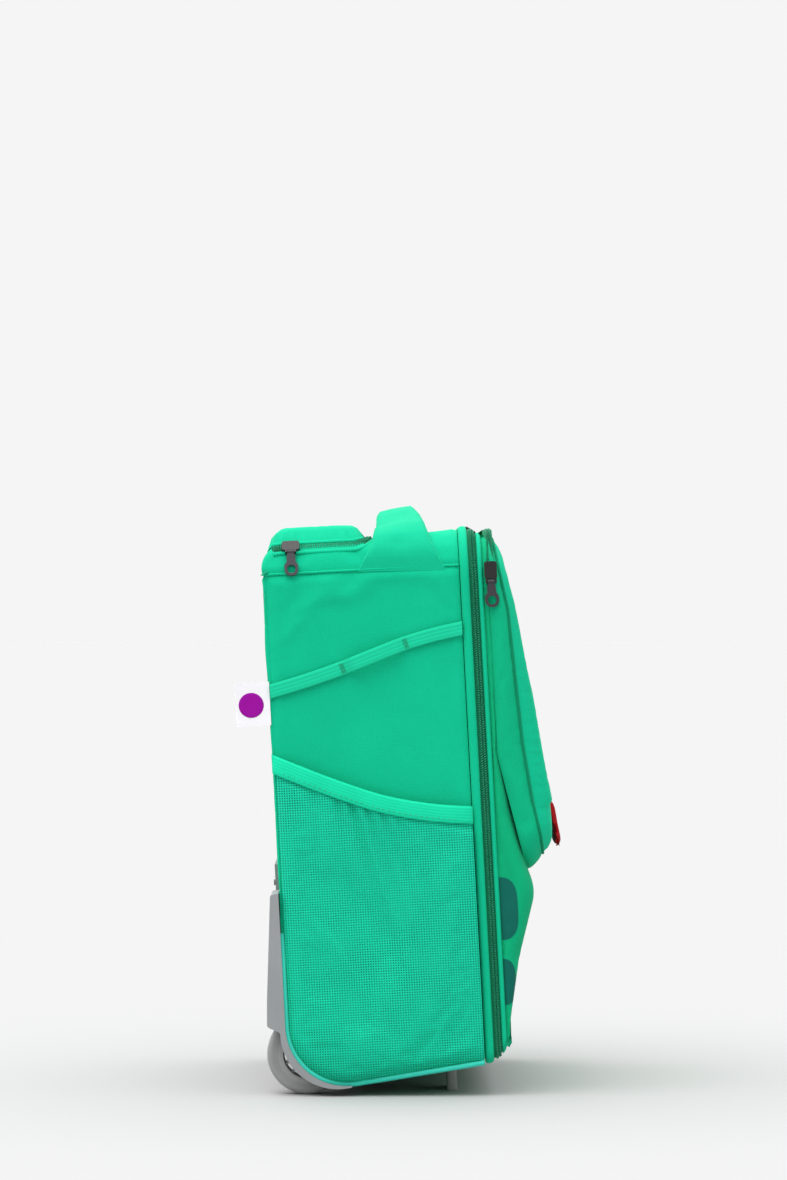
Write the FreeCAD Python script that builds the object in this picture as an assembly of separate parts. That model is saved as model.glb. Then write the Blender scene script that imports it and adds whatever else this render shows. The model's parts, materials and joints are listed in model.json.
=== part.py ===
import FreeCAD, Part
import math
import os

# A child's soft two-wheeled travel case with a telescopic handle.
#
# Everything is drawn in the case's own frame: X across it, with the left side
# negative, "ahead" towards its front (which is -Y) and "up" along its back.
# The origin of that frame is the middle of the wheel axle. The finished pieces
# are then leaned back on the wheels and stood on the floor.

V = FreeCAD.Vector

# ---- Overall sizes, in millimetres and degrees -------------------------------
LEAN = 3.0                  # how far the standing case leans back
CASE_WIDTH = 286.0          # across the fabric body, without the side pockets
CASE_TOP = 349.5            # top panel, above the axle
BODY_DEPTH = 135.0          # back panel to the side seam
WHEEL_RADIUS = 27.5

# ---- Soft body ---------------------------------------------------------------
BACK = -13.8                # back panel, ahead of the axle
FABRIC = 4.0                # padded fabric wall
HEEL_RADIUS = 42.0
HEEL_DROP = 27.05           # the unrounded heel, below the axle
TOE_DROP = 10.2
TOE_SETBACK = 5.2
TOE_RADIUS = 18.0
SHOULDER_RADIUS = 35.0
SOLE_EDGE_RADIUS = 10.0
SOLE_DROP = 24.0
BACK_TOP_RADIUS = 18.0
SHOULDER_SEAM_DROP = 20.5   # where the top panel meets the sides, under CASE_TOP

# ---- Main zip and lid --------------------------------------------------------
ZIP_BAND = 15.5             # side seam to lid seam
COIL = 1.6                  # each half of the zip
COIL_GAP = 0.4
COIL_PROUD = 0.4
ZIP_END = 130.0             # the zip stops this far across; the cloth hinge is beyond
RIDGE_RISE = 5.7            # the top seam stands above the top panel
RIDGE_AHEAD = 5.1           # ahead of the side seam
VALLEY_DROP = 2.1
LID_EDGE_DROP = 3.5
LID_SLOPE_TOP = 199.3       # heights on the lid's front, above the axle
CREASE_HEIGHT = 120.3
BELLY_HEIGHT = 106.0
BELLY_FOOT_HEIGHT = 57.7
CREASE_REACH = 16.3         # and how far each stands ahead of the lid
BELLY_REACH = 21.2
BELLY_FOOT_REACH = 7.7
LID_HINGE_OUT = 8.0         # hinge line outside the body's side
LID_BOARD = 1.5

# ---- Front pocket ------------------------------------------------------------
POCKET_INSET = 1.5          # narrower than the case on each side
POCKET_WALL = 2.5
POCKET_RISE = 1.0           # its top, above CASE_TOP
POCKET_TOP_REACH = 2.5
POCKET_SHOULDER_DROP = 12.5
POCKET_SHOULDER_REACH = 9.8
POCKET_MIDDLE_DROP = 115.5
POCKET_MIDDLE_REACH = 27.2
LIP_HEIGHT = 165.4
LIP_REACH = 35.8
POCKET_FOOT_HEIGHT = 125.5
POCKET_BOTTOM_HEIGHT = 117.8
POCKET_TOP_RADIUS = 32.0
POCKET_BOTTOM_RADIUS = 26.0
POCKET_EDGE_RADIUS = 12.0
PIPING_TOP_REACH = 5.0      # gusset to front panel, ahead of the lid, at its top
PIPING_MIDDLE_REACH = 14.2
PIPING_LOW_REACH = 27.0
MOUTH_DROP = 44.5           # the opening top part reaches down this far
MOUTH_GAP = 0.4

# ---- Side pockets, straps and label ------------------------------------------
SIDE_POCKET_DEPTH = 6.8
MESH = 1.2
PIPING = 3.0
BINDING = 12.0
BINDING_PROUD = 0.2
BINDING_THICK = 1.8
BINDING_LINE = [(BACK, 200.0), (31.9, 179.7), (58.7, 169.5), (92.3, 161.6)]
BINDING_FRONT_HEIGHT = 157.9
STRAP_WIDTH = 9.5
STRAP_THICK = 1.5
STRAP_BACK_DROP = 99.5
STRAP_FRONT_DROP = 63.9
STRAP_LOOP_START = 50.0     # along the strap
STRAP_LOOP_LENGTH = 46.0
STRAP_LOOP_RISE = 5.1
STRAP_RAMP = 8.0
LABEL_LENGTH = 24.0
LABEL_HEIGHT = 30.0
LABEL_DROP = 93.5
LABEL_THICK = 0.8
LABEL_DOT_RADIUS = 8.0
LABEL_DOT_THICK = 0.4

# ---- Carry handle ------------------------------------------------------------
GRAB_BACK = 60.5            # its back edge where it is sewn down, ahead of the axle
GRAB_WIDTH = 52.3           # there
GRAB_CROWN_WIDTH = 26.3
GRAB_CROWN_RISE = 19.3      # crown's front edge, above CASE_TOP
GRAB_TILT = 4.4             # the crown's back edge is lower by this
GRAB_THICK = 4.0

# ---- Telescopic handle -------------------------------------------------------
TUBE_SPACING = 110.0
TUBE_AHEAD = 14.5           # tube centres, ahead of the axle
OUTER_TUBE_RADIUS = 9.0
MIDDLE_TUBE_RADIUS = 7.5
INNER_TUBE_RADIUS = 6.2
TUBE_WALL = 1.1
TUBE_CLEARANCE = 0.3
TUBE_FOOT = 4.0             # bottom of the outer tubes, above the axle
SOCKET_WALL = 2.0
SOCKET_DEPTH = 10.0
TUBE_STEP = 8.0             # each inner stage starts this much higher
TRAY_DEPTH = 33.5
TRAY_LENGTH = 51.0
TRAY_WIDTH = 184.0
TRAY_WALL = 2.0
YOKE_HEIGHT = 6.0
GRIP_WIDTH = 150.0
GRIP_LENGTH = 24.0
GRIP_HEIGHT = 19.0
GRIP_GAP = 0.4
BUTTON_WIDTH = 34.0
BUTTON_LENGTH = 11.0
BUTTON_HEIGHT = 6.0
BUTTON_PROUD = 1.5
BUTTON_TRAVEL = 2.5
BUTTON_CLEARANCE = 0.3

# ---- Handle flap -------------------------------------------------------------
FLAP_FRONT = 57.8
FLAP_HALF_WIDTH = 128.0
FLAP_RISE = 9.0
FLAP_SKIRT = 5.0
FLAP_GAP = 0.4
FLAP_COIL = 1.8
FLAP_HINGE_BACK = 4.3       # hinge line, ahead of the back panel

# ---- Wheels, guards, feet ----------------------------------------------------
WHEEL_WIDTH = 20.0
WHEEL_INSET = 21.0          # wheel centre, inside the body's side
TYRE_THICK = 7.5
AXLE_RADIUS = 3.0
AXLE_CLEARANCE = 0.05
BUSH_RADIUS = 5.0
HUB_BOSS_RADIUS = 8.0
SLOT_INNER = 12.0
SLOT_OUTER = 16.0
SPOKES = 13
SPOKE_WIDTH = 1.6
WELL_CLEARANCE = 3.5
WELL_WALL = 2.5
GUARD_TOP = 112.0
GUARD_BACK_TOP = 5.6        # how far the guard stands behind the back panel
GUARD_BACK_LOW = 11.4
GUARD_BACK_KNEE = 12.4
GUARD_LOW_HEIGHT = 39.5
GUARD_KNEE_HEIGHT = 21.1
GUARD_STEP_HEIGHT = 16.6
BAND_THICK = 3.7
GUARD_WIDTH = 47.0
GUARD_SIDE_PROUD = 4.0
GUARD_TOE = 30.0
GUARD_SOLE = 0.9            # how far the guard stands below the sole
KICK_TOP = 129.0
KICK_THICK = 2.7
KICK_TOE = 50.0
SKID_START = 34.0
SKID_LENGTH = 24.0
SKID_WIDTH = 30.0
SKID_DROP = 26.0
FOOT_AHEAD = 98.0
FOOT_LENGTH = 7.0
FOOT_WIDTH = 36.0
FOOT_SPACING = 170.0
SCREW_RADIUS = 3.2
SCREW_HEAD = 1.4

# ---- Inside ------------------------------------------------------------------
BOARD = 2.0
BOARD_AHEAD = 26.0
BOARD_MARGIN = 1.0
PACKING_WIDTH = 25.0
PACKING_THICK = 1.5

# ---- Zip sliders and pulls ---------------------------------------------------
SLIDER_LENGTH = 12.0
SLIDER_WIDTH = 8.6
SLIDER_THICK = 2.6
SLIDER_GAP = 0.35
LUG_REACH = 1.8             # pull pin, past the slider's end
PIN_RADIUS = 0.7
PIN_HEIGHT = 2.1
PULL_LENGTH = 17.5
PULL_NECK = 6.0
PULL_RING = 9.4             # loop at the pull's free end
PULL_THICK = 1.8
MAIN_SLIDER_ACROSS = 70.0
POCKET_SLIDER_DROP = 25.5
FLAP_SLIDER_AHEAD = 6.7

# ---- Red pull tab under the pocket's lip -------------------------------------
TAB_LENGTH = 33.0
TAB_WIDTH = 40.0
TAB_THICK = 4.2
TAB_GAP = 0.4

# ---- Places that follow from the sizes above ---------------------------------
HALF = CASE_WIDTH / 2
SEAM = BACK + BODY_DEPTH
LID_SEAM = SEAM + ZIP_BAND
LID_FRONT = LID_SEAM + FABRIC
ZIP_CENTRE = SEAM + 9.5
SHOULDER_SEAM = CASE_TOP - SHOULDER_SEAM_DROP
RIDGE = CASE_TOP + RIDGE_RISE
HEEL_SEAM = HEEL_RADIUS - HEEL_DROP + 5.0
POCKET_SIDE = HALF + SIDE_POCKET_DEPTH
MOUTH_HEIGHT = CASE_TOP - MOUTH_DROP
TRAY_BACK = BACK + FABRIC + 8.8
TRAY_FLOOR = CASE_TOP - TRAY_DEPTH
YOKE_FLOOR = TRAY_FLOOR + TRAY_WALL + GRIP_GAP
GRIP_FLOOR = YOKE_FLOOR + YOKE_HEIGHT + GRIP_GAP
WHEEL_ACROSS = HALF - WHEEL_INSET
WELL_RADIUS = WHEEL_RADIUS + WELL_CLEARANCE
WELL_IN = WHEEL_ACROSS - WHEEL_WIDTH / 2 - 2.0
WELL_OUT = WHEEL_ACROSS + WHEEL_WIDTH / 2 + 3.0
REACH = 400.0               # longer than anything drawn
SIDES = {"left": -1, "right": 1}


# ---- Drawing helpers ---------------------------------------------------------

def at(across, ahead, up):
    """A point of the case frame."""
    return V(across, -ahead, up)


def block(across, ahead, up):
    """A box from three pairs of limits."""
    corner = at(across[0], ahead[1], up[0])
    return Part.makeBox(across[1] - across[0], ahead[1] - ahead[0], up[1] - up[0], corner)


def rod(centre, direction, radius, length):
    """A cylinder from a point along a direction."""
    return Part.makeCylinder(radius, length, centre, direction)


def rod_across(radius, low, high, ahead=0.0, up=0.0):
    """A cylinder across the case."""
    return rod(at(low, ahead, up), V(1, 0, 0), radius, high - low)


def corner_reaches(corners):
    """How far each corner's rounding reaches along its edges, limited by their length."""
    reaches = []
    for index, (u, v, radius) in enumerate(corners):
        before, after = corners[index - 1], corners[(index + 1) % len(corners)]
        one = V(before[0] - u, before[1] - v, 0)
        two = V(after[0] - u, after[1] - v, 0)
        reaches.append(radius / math.tan(one.getAngle(two) / 2))
    limited = []
    for index, reach in enumerate(reaches):
        here = V(*corners[index][:2], 0)
        for other in (index - 1, (index + 1) % len(corners)):
            edge = here.distanceToPoint(V(*corners[other][:2], 0))
            wanted = reaches[index] + reaches[other]
            if wanted > edge:
                reach = min(reach, 0.999 * edge * reaches[index] / wanted)
        limited.append(reach)
    return limited


def rounded_face(corners, place):
    """A face from corners (u, v, radius), where place(u, v) gives the point in space."""
    stops, arcs = [], []
    for index, reach in enumerate(corner_reaches(corners)):
        here = V(*corners[index][:2], 0)
        after = V(*corners[(index + 1) % len(corners)][:2], 0)
        to_before = (V(*corners[index - 1][:2], 0) - here).normalize()
        to_after = (after - here).normalize()
        half = to_before.getAngle(to_after) / 2
        if reach < 1e-4:
            stops.append((here, here))
            arcs.append(None)
            continue
        radius = reach * math.tan(half)
        middle = here + (to_before + to_after).normalize() * (radius / math.sin(half) - radius)
        stops.append((here + to_before * reach, here + to_after * reach))
        arcs.append(middle)
    edges = []
    for index, (start, end) in enumerate(stops):
        if arcs[index]:
            points = [place(p.x, p.y) for p in (start, arcs[index], end)]
            edges.append(Part.Arc(*points).toShape())
        following = stops[(index + 1) % len(stops)][0]
        if end.distanceToPoint(following) > 1e-5:
            edges.append(Part.makeLine(place(end.x, end.y), place(following.x, following.y)))
    return Part.Face(Part.Wire(edges))


def inset(corners, gap):
    """An anticlockwise outline drawn in by gap, or out where gap is negative."""
    moved = []
    for index, (u, v, radius) in enumerate(corners):
        before, after = corners[index - 1], corners[(index + 1) % len(corners)]
        into = V(u - before[0], v - before[1], 0).normalize()
        out = V(after[0] - u, after[1] - v, 0).normalize()
        normals = V(-into.y, into.x, 0) + V(-out.y, out.x, 0)
        shift = normals * (gap / (1 + into.dot(out)))
        turns_left = into.x * out.y - into.y * out.x > 0
        left = radius - gap if turns_left else radius + gap
        moved.append((u + shift.x, v + shift.y, max(left, 0.0) if radius else 0.0))
    return moved


def prism_across(corners, low=-REACH, high=REACH):
    """An outline in the side view, drawn out across the case."""
    face = rounded_face(corners, lambda ahead, up: at(low, ahead, up))
    return face.extrude(V(high - low, 0, 0))


def prism_ahead(corners, low=-REACH, high=REACH):
    """An outline in the front view, drawn out from back to front."""
    face = rounded_face(corners, lambda across, up: at(across, low, up))
    return face.extrude(V(0, low - high, 0))


def prism_up(corners, low=-REACH, high=REACH):
    """An outline in plan, drawn upwards."""
    face = rounded_face(corners, lambda across, ahead: at(across, ahead, low))
    return face.extrude(V(0, 0, high - low))


def rectangle(left, right, low, high, radius=0.0):
    """A rounded rectangle as an anticlockwise outline."""
    return [(left, low, radius), (right, low, radius), (right, high, radius), (left, high, radius)]


def mirrored(shape):
    """The same shape on the other side of the case."""
    return shape.mirror(V(0, 0, 0), V(1, 0, 0))


def on_side(shape, side):
    """A shape drawn on the right, taken to the side that is asked for."""
    return shape if side > 0 else mirrored(shape)


def group(shapes):
    """Several separate solids in one node."""
    return Part.makeCompound([solid for shape in shapes for solid in shape.Solids])


# ---- The soft body as one block ----------------------------------------------

def case_outline():
    """Side view of body, zip band and lid, anticlockwise from the heel."""
    return [
        (BACK, -HEEL_DROP, HEEL_RADIUS),
        (LID_FRONT - TOE_SETBACK, -TOE_DROP, TOE_RADIUS),
        (LID_FRONT + BELLY_FOOT_REACH, BELLY_FOOT_HEIGHT, 60.0),
        (LID_FRONT + BELLY_REACH, BELLY_HEIGHT, 14.0),
        (LID_FRONT + CREASE_REACH, CREASE_HEIGHT, 5.0),
        (LID_FRONT, LID_SLOPE_TOP, 30.0),
        (LID_FRONT, CASE_TOP - LID_EDGE_DROP, 3.0),
        (LID_SEAM + 0.8, CASE_TOP - VALLEY_DROP, 1.0),
        (SEAM + RIDGE_AHEAD, RIDGE, 5.0),
        (SEAM / 2, CASE_TOP, 60.0),
        (BACK, CASE_TOP, BACK_TOP_RADIUS),
    ]


def front_outline():
    """Front view of the body, anticlockwise from its lower left."""
    return [
        (-HALF, -SOLE_DROP, SOLE_EDGE_RADIUS),
        (HALF, -SOLE_DROP, SOLE_EDGE_RADIUS),
        (HALF, RIDGE + 0.4, SHOULDER_RADIUS),
        (-HALF, RIDGE + 0.4, SHOULDER_RADIUS),
    ]


def case_block(gap=0.0):
    """The whole soft body without its front pocket, drawn in by gap all round."""
    side = prism_across(inset(case_outline(), gap))
    return side.common(prism_ahead(inset(front_outline(), gap)))


def slab(low, high):
    """Everything between two places ahead of the axle."""
    return block((-REACH, REACH), (low, high), (-REACH, 2 * REACH))


def wheel_wells(radius, inner, outer):
    """Both wheel spaces, as cylinders about the axle."""
    one = rod_across(radius, inner, outer)
    return [one, mirrored(one)]


# ---- Body panels -------------------------------------------------------------

def tray_block(gap=0.0):
    """The outside of the tray that the grip lies in."""
    half = TRAY_WIDTH / 2 - gap
    outline = rectangle(-half, half, TRAY_BACK + gap, TRAY_BACK + TRAY_LENGTH - gap, 6.0 - gap)
    return prism_up(outline, TRAY_FLOOR + gap, CASE_TOP + 2 * FLAP_RISE)


def body_panels(outside, inside):
    """The padded panels behind the side seam."""
    shell = outside.cut(inside).common(slab(BACK - REACH, SEAM))
    wells = wheel_wells(WELL_RADIUS + WELL_WALL, WELL_IN - WELL_WALL, HALF - FABRIC)
    above = block((-REACH, REACH), (-REACH, REACH), (SHOULDER_SEAM, 2 * REACH))
    core = block((FABRIC - HALF, HALF - FABRIC), (-REACH, REACH), (-REACH, REACH * 2))
    lower = shell.cut(above)
    middle = lower.common(core).cut(wells)
    heel = block((-REACH, REACH), (-REACH, REACH), (-REACH, HEEL_SEAM))
    flanks = sorted(lower.cut(core).Solids, key=lambda solid: solid.CenterOfMass.x)
    return {
        "top_panel": shell.common(above).cut(tray_block()),
        "side_panel_left": flanks[0],
        "side_panel_right": flanks[-1],
        "rear_panel": middle.cut(heel).common(slab(BACK - 1, BACK + BACK_TOP_RADIUS)),
        "bottom_panel": middle.common(heel),
    }


def zip_halves(outside, inside):
    """The cloth bands and zip coils between the side seam and the lid seam."""
    shell = outside.cut(inside)
    ring = case_block(-COIL_PROUD).cut(case_block(COIL))
    past_end = block((ZIP_END, REACH), (-REACH, REACH), (-REACH, 2 * REACH))
    meet_low, meet_high = ZIP_CENTRE - COIL_GAP / 2, ZIP_CENTRE + COIL_GAP / 2
    case_coil = slab(meet_low - COIL, meet_low)
    lid_coil = slab(meet_high, meet_high + COIL)
    return {
        "case_zip_band": shell.common(slab(SEAM, meet_low)).cut(case_coil.cut(past_end)),
        "case_zip_coil": ring.common(case_coil).cut(past_end),
        "lid_zip_band": shell.common(slab(meet_high, LID_SEAM)).cut(lid_coil.cut(past_end)),
        "lid_zip_coil": ring.common(lid_coil).cut(past_end),
    }


# ---- Lid and front pocket ----------------------------------------------------

def lid_pieces(outside, inside):
    """The lid's padded front and the stiffening board inside it."""
    margin = FABRIC + 4.0
    board = block(
        (margin - HALF, HALF - margin),
        (LID_SEAM - LID_BOARD, LID_SEAM),
        (LID_SLOPE_TOP + margin, CASE_TOP - SHOULDER_RADIUS),
    )
    return {
        "lid_panel": outside.cut(inside).common(slab(LID_SEAM, REACH)),
        "lid_board": board,
    }


def pocket_outline(back):
    """Side view of the front pocket, anticlockwise from its lower back corner."""
    return [
        (back, POCKET_BOTTOM_HEIGHT, 0.0),
        (LID_FRONT + CREASE_REACH + 2.0, POCKET_BOTTOM_HEIGHT, 4.0),
        (LID_FRONT + LIP_REACH - 7.0, POCKET_FOOT_HEIGHT, 10.0),
        (LID_FRONT + LIP_REACH - 1.3, POCKET_FOOT_HEIGHT + 9.5, 8.0),
        (LID_FRONT + LIP_REACH, LIP_HEIGHT, 3.0),
        (LID_FRONT + POCKET_MIDDLE_REACH, CASE_TOP - POCKET_MIDDLE_DROP, 80.0),
        (LID_FRONT + POCKET_SHOULDER_REACH, CASE_TOP - POCKET_SHOULDER_DROP, 30.0),
        (LID_FRONT + POCKET_TOP_REACH, CASE_TOP + POCKET_RISE, 3.0),
        (back, CASE_TOP + POCKET_RISE, 0.0),
    ]


def pocket_block(gap, back):
    """The front pocket as one block, drawn in by gap, from a plane behind it."""
    half = HALF - POCKET_INSET
    front = [
        (-half, POCKET_BOTTOM_HEIGHT, POCKET_BOTTOM_RADIUS),
        (half, POCKET_BOTTOM_HEIGHT, POCKET_BOTTOM_RADIUS),
        (half, CASE_TOP + POCKET_RISE, POCKET_TOP_RADIUS),
        (-half, CASE_TOP + POCKET_RISE, POCKET_TOP_RADIUS),
    ]
    plan = rectangle(-half, half, BACK, LID_FRONT + LIP_REACH, POCKET_EDGE_RADIUS)
    solid = prism_across(inset(pocket_outline(back), gap))
    return solid.common(prism_ahead(inset(front, gap))).common(prism_up(inset(plan, gap)))


def ahead_of_piping():
    """Everything ahead of the piped seam between gusset and front panel."""
    return prism_across([
        (LID_FRONT + PIPING_LOW_REACH + 3.0, 0.0, 0.0),
        (REACH, 0.0, 0.0),
        (REACH, 2 * REACH, 0.0),
        (LID_FRONT + PIPING_TOP_REACH, 2 * REACH, 0.0),
        (LID_FRONT + PIPING_TOP_REACH, CASE_TOP - 10.0, 0.0),
        (LID_FRONT + PIPING_MIDDLE_REACH, CASE_TOP - 100.0, 0.0),
        (LID_FRONT + PIPING_LOW_REACH, LIP_HEIGHT - 25.0, 0.0),
    ])


def pocket_pieces(outside):
    """The pocket's gusset, its front panel and the top part that opens."""
    hollow = pocket_block(POCKET_WALL, LID_FRONT - 20.0)
    shell = pocket_block(0.0, LID_FRONT).cut(hollow).cut(outside)
    everywhere = (-REACH, REACH)
    above = block(everywhere, everywhere, (MOUTH_HEIGHT, 2 * REACH))
    below = block(everywhere, everywhere, (-REACH, MOUTH_HEIGHT - MOUTH_GAP))
    low = shell.common(below)
    front = ahead_of_piping()
    return {
        "pocket_gusset": low.cut(front),
        "pocket_front": low.common(front),
        "pocket_mouth": shell.common(above),
    }


def tab_piece():
    """The padded red tab that hangs in front of the pocket's lower edge."""
    back = LID_FRONT + LIP_REACH + TAB_GAP
    top = LIP_HEIGHT - 1.0
    outline = rectangle(-TAB_WIDTH / 2, TAB_WIDTH / 2, top - TAB_LENGTH, top, 8.0)
    return {"pull_tab": prism_ahead(outline, back, back + TAB_THICK)}


# ---- Side pockets, straps, label ---------------------------------------------

def binding_heights():
    """The pocket edge's line, from the back to the side seam."""
    return BINDING_LINE + [(SEAM, BINDING_FRONT_HEIGHT)]


def below_binding(offset):
    """Everything below a line offset from the pocket's edge, behind the side seam."""
    line = [(ahead, up + offset) for ahead, up in binding_heights()]
    line[0] = (BACK, line[0][1])
    upper = [(ahead, up, 0.0) for ahead, up in reversed(line)]
    return prism_across([(BACK, -REACH, 0.0), (SEAM, -REACH, 0.0)] + upper)


def side_pocket(outline):
    """Mesh, its piped edge and its elastic binding, on the right."""
    inner = prism_across(inset(outline, PIPING)).common(slab(-REACH, SEAM - PIPING))
    outer = prism_across(outline).common(slab(-REACH, SEAM))
    sheet_zone = block((POCKET_SIDE - MESH, POCKET_SIDE), (-REACH, REACH), (-REACH, REACH))
    edge_zone = block((HALF, POCKET_SIDE), (-REACH, REACH), (-REACH, REACH))
    face = POCKET_SIDE + BINDING_PROUD
    band_zone = block((face - BINDING_THICK, face), (-REACH, REACH), (-REACH, REACH))
    under = below_binding(-BINDING / 2)
    band = below_binding(BINDING / 2).cut(under).common(outer)
    binding = band.common(band_zone)
    return {
        "mesh_pocket": inner.common(sheet_zone).common(under),
        "pocket_piping": outer.cut(inner).common(edge_zone).common(under),
        "pocket_binding": binding,
    }


def side_strap():
    """The webbing strap with its raised loop, on the right."""
    start = at(HALF, BACK + 5.0, CASE_TOP - STRAP_BACK_DROP)
    end = at(HALF, SEAM - 0.5, CASE_TOP - STRAP_FRONT_DROP)
    length = start.distanceToPoint(end)
    rise = STRAP_LOOP_RISE
    ramp = STRAP_RAMP
    loop_end = min(STRAP_LOOP_START + STRAP_LOOP_LENGTH, length - 2 * ramp)
    lower = [
        (0.0, 0.0), (STRAP_LOOP_START - ramp, 0.0), (STRAP_LOOP_START, rise),
        (loop_end, rise), (loop_end + ramp, 0.0), (length, 0.0),
    ]
    along = (end - start).normalize()
    out = V(1, 0, 0)
    wide = along.cross(out)
    corner = start - wide * (STRAP_WIDTH / 2)
    upper = [(u, v + STRAP_THICK) for u, v in reversed(lower)]
    points = [corner + along * u + out * v for u, v in lower + upper]
    face = Part.Face(Part.makePolygon(points + points[:1]))
    return face.extrude(wide * STRAP_WIDTH)


def label_pieces(outside):
    """The woven tag in the back seam and a plain round patch on each of its faces."""
    outer = HALF - 0.4
    height = CASE_TOP - LABEL_DROP - LABEL_HEIGHT
    tag = block((-outer, LABEL_THICK - outer), (BACK + 1.8 - LABEL_LENGTH, BACK + 1.8),
                (height, height + LABEL_HEIGHT))
    middle = at(-outer, BACK + 1.8 - LABEL_LENGTH / 2, height + LABEL_HEIGHT / 2)
    near = rod(middle, V(-1, 0, 0), LABEL_DOT_RADIUS, LABEL_DOT_THICK)
    far = rod(middle + V(LABEL_THICK, 0, 0), V(1, 0, 0), LABEL_DOT_RADIUS, LABEL_DOT_THICK)
    return {"label_tag": tag.cut(outside), "label_patches": group([near, far])}


def side_pieces(outside):
    """What is sewn to the two sides."""
    pieces = {}
    for name, shape in side_pocket(case_outline()).items():
        for side, sign in SIDES.items():
            pieces[f"{name}_{side}"] = on_side(shape, sign)
    for side, sign in SIDES.items():
        pieces[f"side_strap_{side}"] = on_side(side_strap(), sign)
    pieces.update(label_pieces(outside))
    return pieces


# ---- Carry handle ------------------------------------------------------------

def strap_section(across, back, front, back_top, front_top):
    """One cross-section of the carry handle, upright at a place across the case."""
    points = [
        at(across, back, back_top), at(across, front, front_top),
        at(across, front, front_top - GRAB_THICK), at(across, back, back_top - GRAB_THICK),
    ]
    return Part.makePolygon(points + points[:1])


def carry_handle():
    """The padded strap over the top, sewn down on both shoulders."""
    centre = HALF - SHOULDER_RADIUS
    height = RIDGE + 0.4 - SHOULDER_RADIUS
    radius = SHOULDER_RADIUS + GRAB_THICK
    front = GRAB_BACK + GRAB_WIDTH
    taper = (GRAB_WIDTH - GRAB_CROWN_WIDTH) / 2
    crown = CASE_TOP + GRAB_CROWN_RISE
    stations = []
    for angle, share in ((14.0, 0.0), (32.0, 0.15), (50.0, 0.3), (68.0, 0.42)):
        turn = math.radians(angle)
        up = height + radius * math.sin(turn)
        inward = taper * share
        stations.append((centre + radius * math.cos(turn), GRAB_BACK + inward,
                         front - inward, up - 1.5 * share, up + share))
    for share_across, share in ((0.66, 0.7), (0.33, 0.92)):
        up = height + radius + (crown - height - radius) * share
        inward = taper * (0.5 + share / 2)
        stations.append((centre * share_across, GRAB_BACK + inward, front - inward,
                         up - GRAB_TILT * share, up))
    inward = taper
    stations.append((0.0, GRAB_BACK + inward, front - inward, crown - GRAB_TILT, crown))
    right = [strap_section(*station) for station in stations]
    left = [strap_section(-s[0], *s[1:]) for s in reversed(stations[:-1])]
    return Part.makeLoft(right + left, True, True)


# ---- Telescopic handle -------------------------------------------------------

def tube(sign, outer, inner, low, high):
    """One upright tube of the telescopic handle."""
    foot = at(sign * TUBE_SPACING / 2, TUBE_AHEAD, low)
    up = V(0, 0, 1)
    return rod(foot, up, outer, high - low).cut(rod(foot, up, inner, high - low))


def tube_holes(radius, low, high):
    """Round holes for both tubes."""
    feet = [at(sign * TUBE_SPACING / 2, TUBE_AHEAD, low) for sign in SIDES.values()]
    return [rod(foot, V(0, 0, 1), radius, high - low) for foot in feet]


def telescopic_tubes():
    """Outer, middle and inner tubes on both sides."""
    pieces = {}
    middle_foot = TUBE_FOOT + TUBE_STEP
    yoke_top = YOKE_FLOOR + YOKE_HEIGHT
    stages = {
        "outer_tube": (OUTER_TUBE_RADIUS, MIDDLE_TUBE_RADIUS + TUBE_CLEARANCE,
                       TUBE_FOOT, TRAY_FLOOR),
        "middle_tube": (MIDDLE_TUBE_RADIUS, INNER_TUBE_RADIUS + TUBE_CLEARANCE,
                        middle_foot, yoke_top),
        "inner_tube": (INNER_TUBE_RADIUS, INNER_TUBE_RADIUS - TUBE_WALL,
                       middle_foot + TUBE_STEP, GRIP_FLOOR + 10.0),
    }
    for name, sizes in stages.items():
        for side, sign in SIDES.items():
            pieces[f"{name}_{side}"] = tube(sign, *sizes)
    return pieces


def grip_pieces():
    """The grip, its release button and the yoke that joins the middle tubes."""
    half = GRIP_WIDTH / 2
    ahead = (TUBE_AHEAD - GRIP_LENGTH / 2, TUBE_AHEAD + GRIP_LENGTH / 2)
    top = GRIP_FLOOR + GRIP_HEIGHT
    outline = rectangle(-half, half, GRIP_FLOOR, top, 7.0)
    grip = prism_ahead(outline, *ahead).common(
        prism_across(rectangle(*ahead, GRIP_FLOOR, top, 6.0)))
    sunk = BUTTON_HEIGHT - BUTTON_PROUD
    socket_floor = top - sunk - BUTTON_TRAVEL - BUTTON_CLEARANCE
    wide = BUTTON_WIDTH / 2
    deep = BUTTON_LENGTH / 2
    button = prism_up(rectangle(-wide, wide, TUBE_AHEAD - deep, TUBE_AHEAD + deep, 4.0),
                      top - sunk, top + BUTTON_PROUD)
    socket = prism_up(inset(rectangle(-wide, wide, TUBE_AHEAD - deep, TUBE_AHEAD + deep, 4.0),
                            -BUTTON_CLEARANCE), socket_floor, top + 1.0)
    tube_top = tube_holes(INNER_TUBE_RADIUS, GRIP_FLOOR - 1.0, GRIP_FLOOR + 10.0)
    yoke_half = TUBE_SPACING / 2 + MIDDLE_TUBE_RADIUS + 6.0
    yoke_deep = MIDDLE_TUBE_RADIUS + 3.5
    yoke = prism_up(rectangle(-yoke_half, yoke_half, TUBE_AHEAD - yoke_deep,
                              TUBE_AHEAD + yoke_deep, 6.0), YOKE_FLOOR, YOKE_FLOOR + YOKE_HEIGHT)
    return {
        "handle_grip": grip.cut(socket).cut(tube_top),
        "grip_button": button,
        "handle_yoke": yoke.cut(tube_holes(MIDDLE_TUBE_RADIUS, YOKE_FLOOR - 1, GRIP_FLOOR)),
    }


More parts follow.
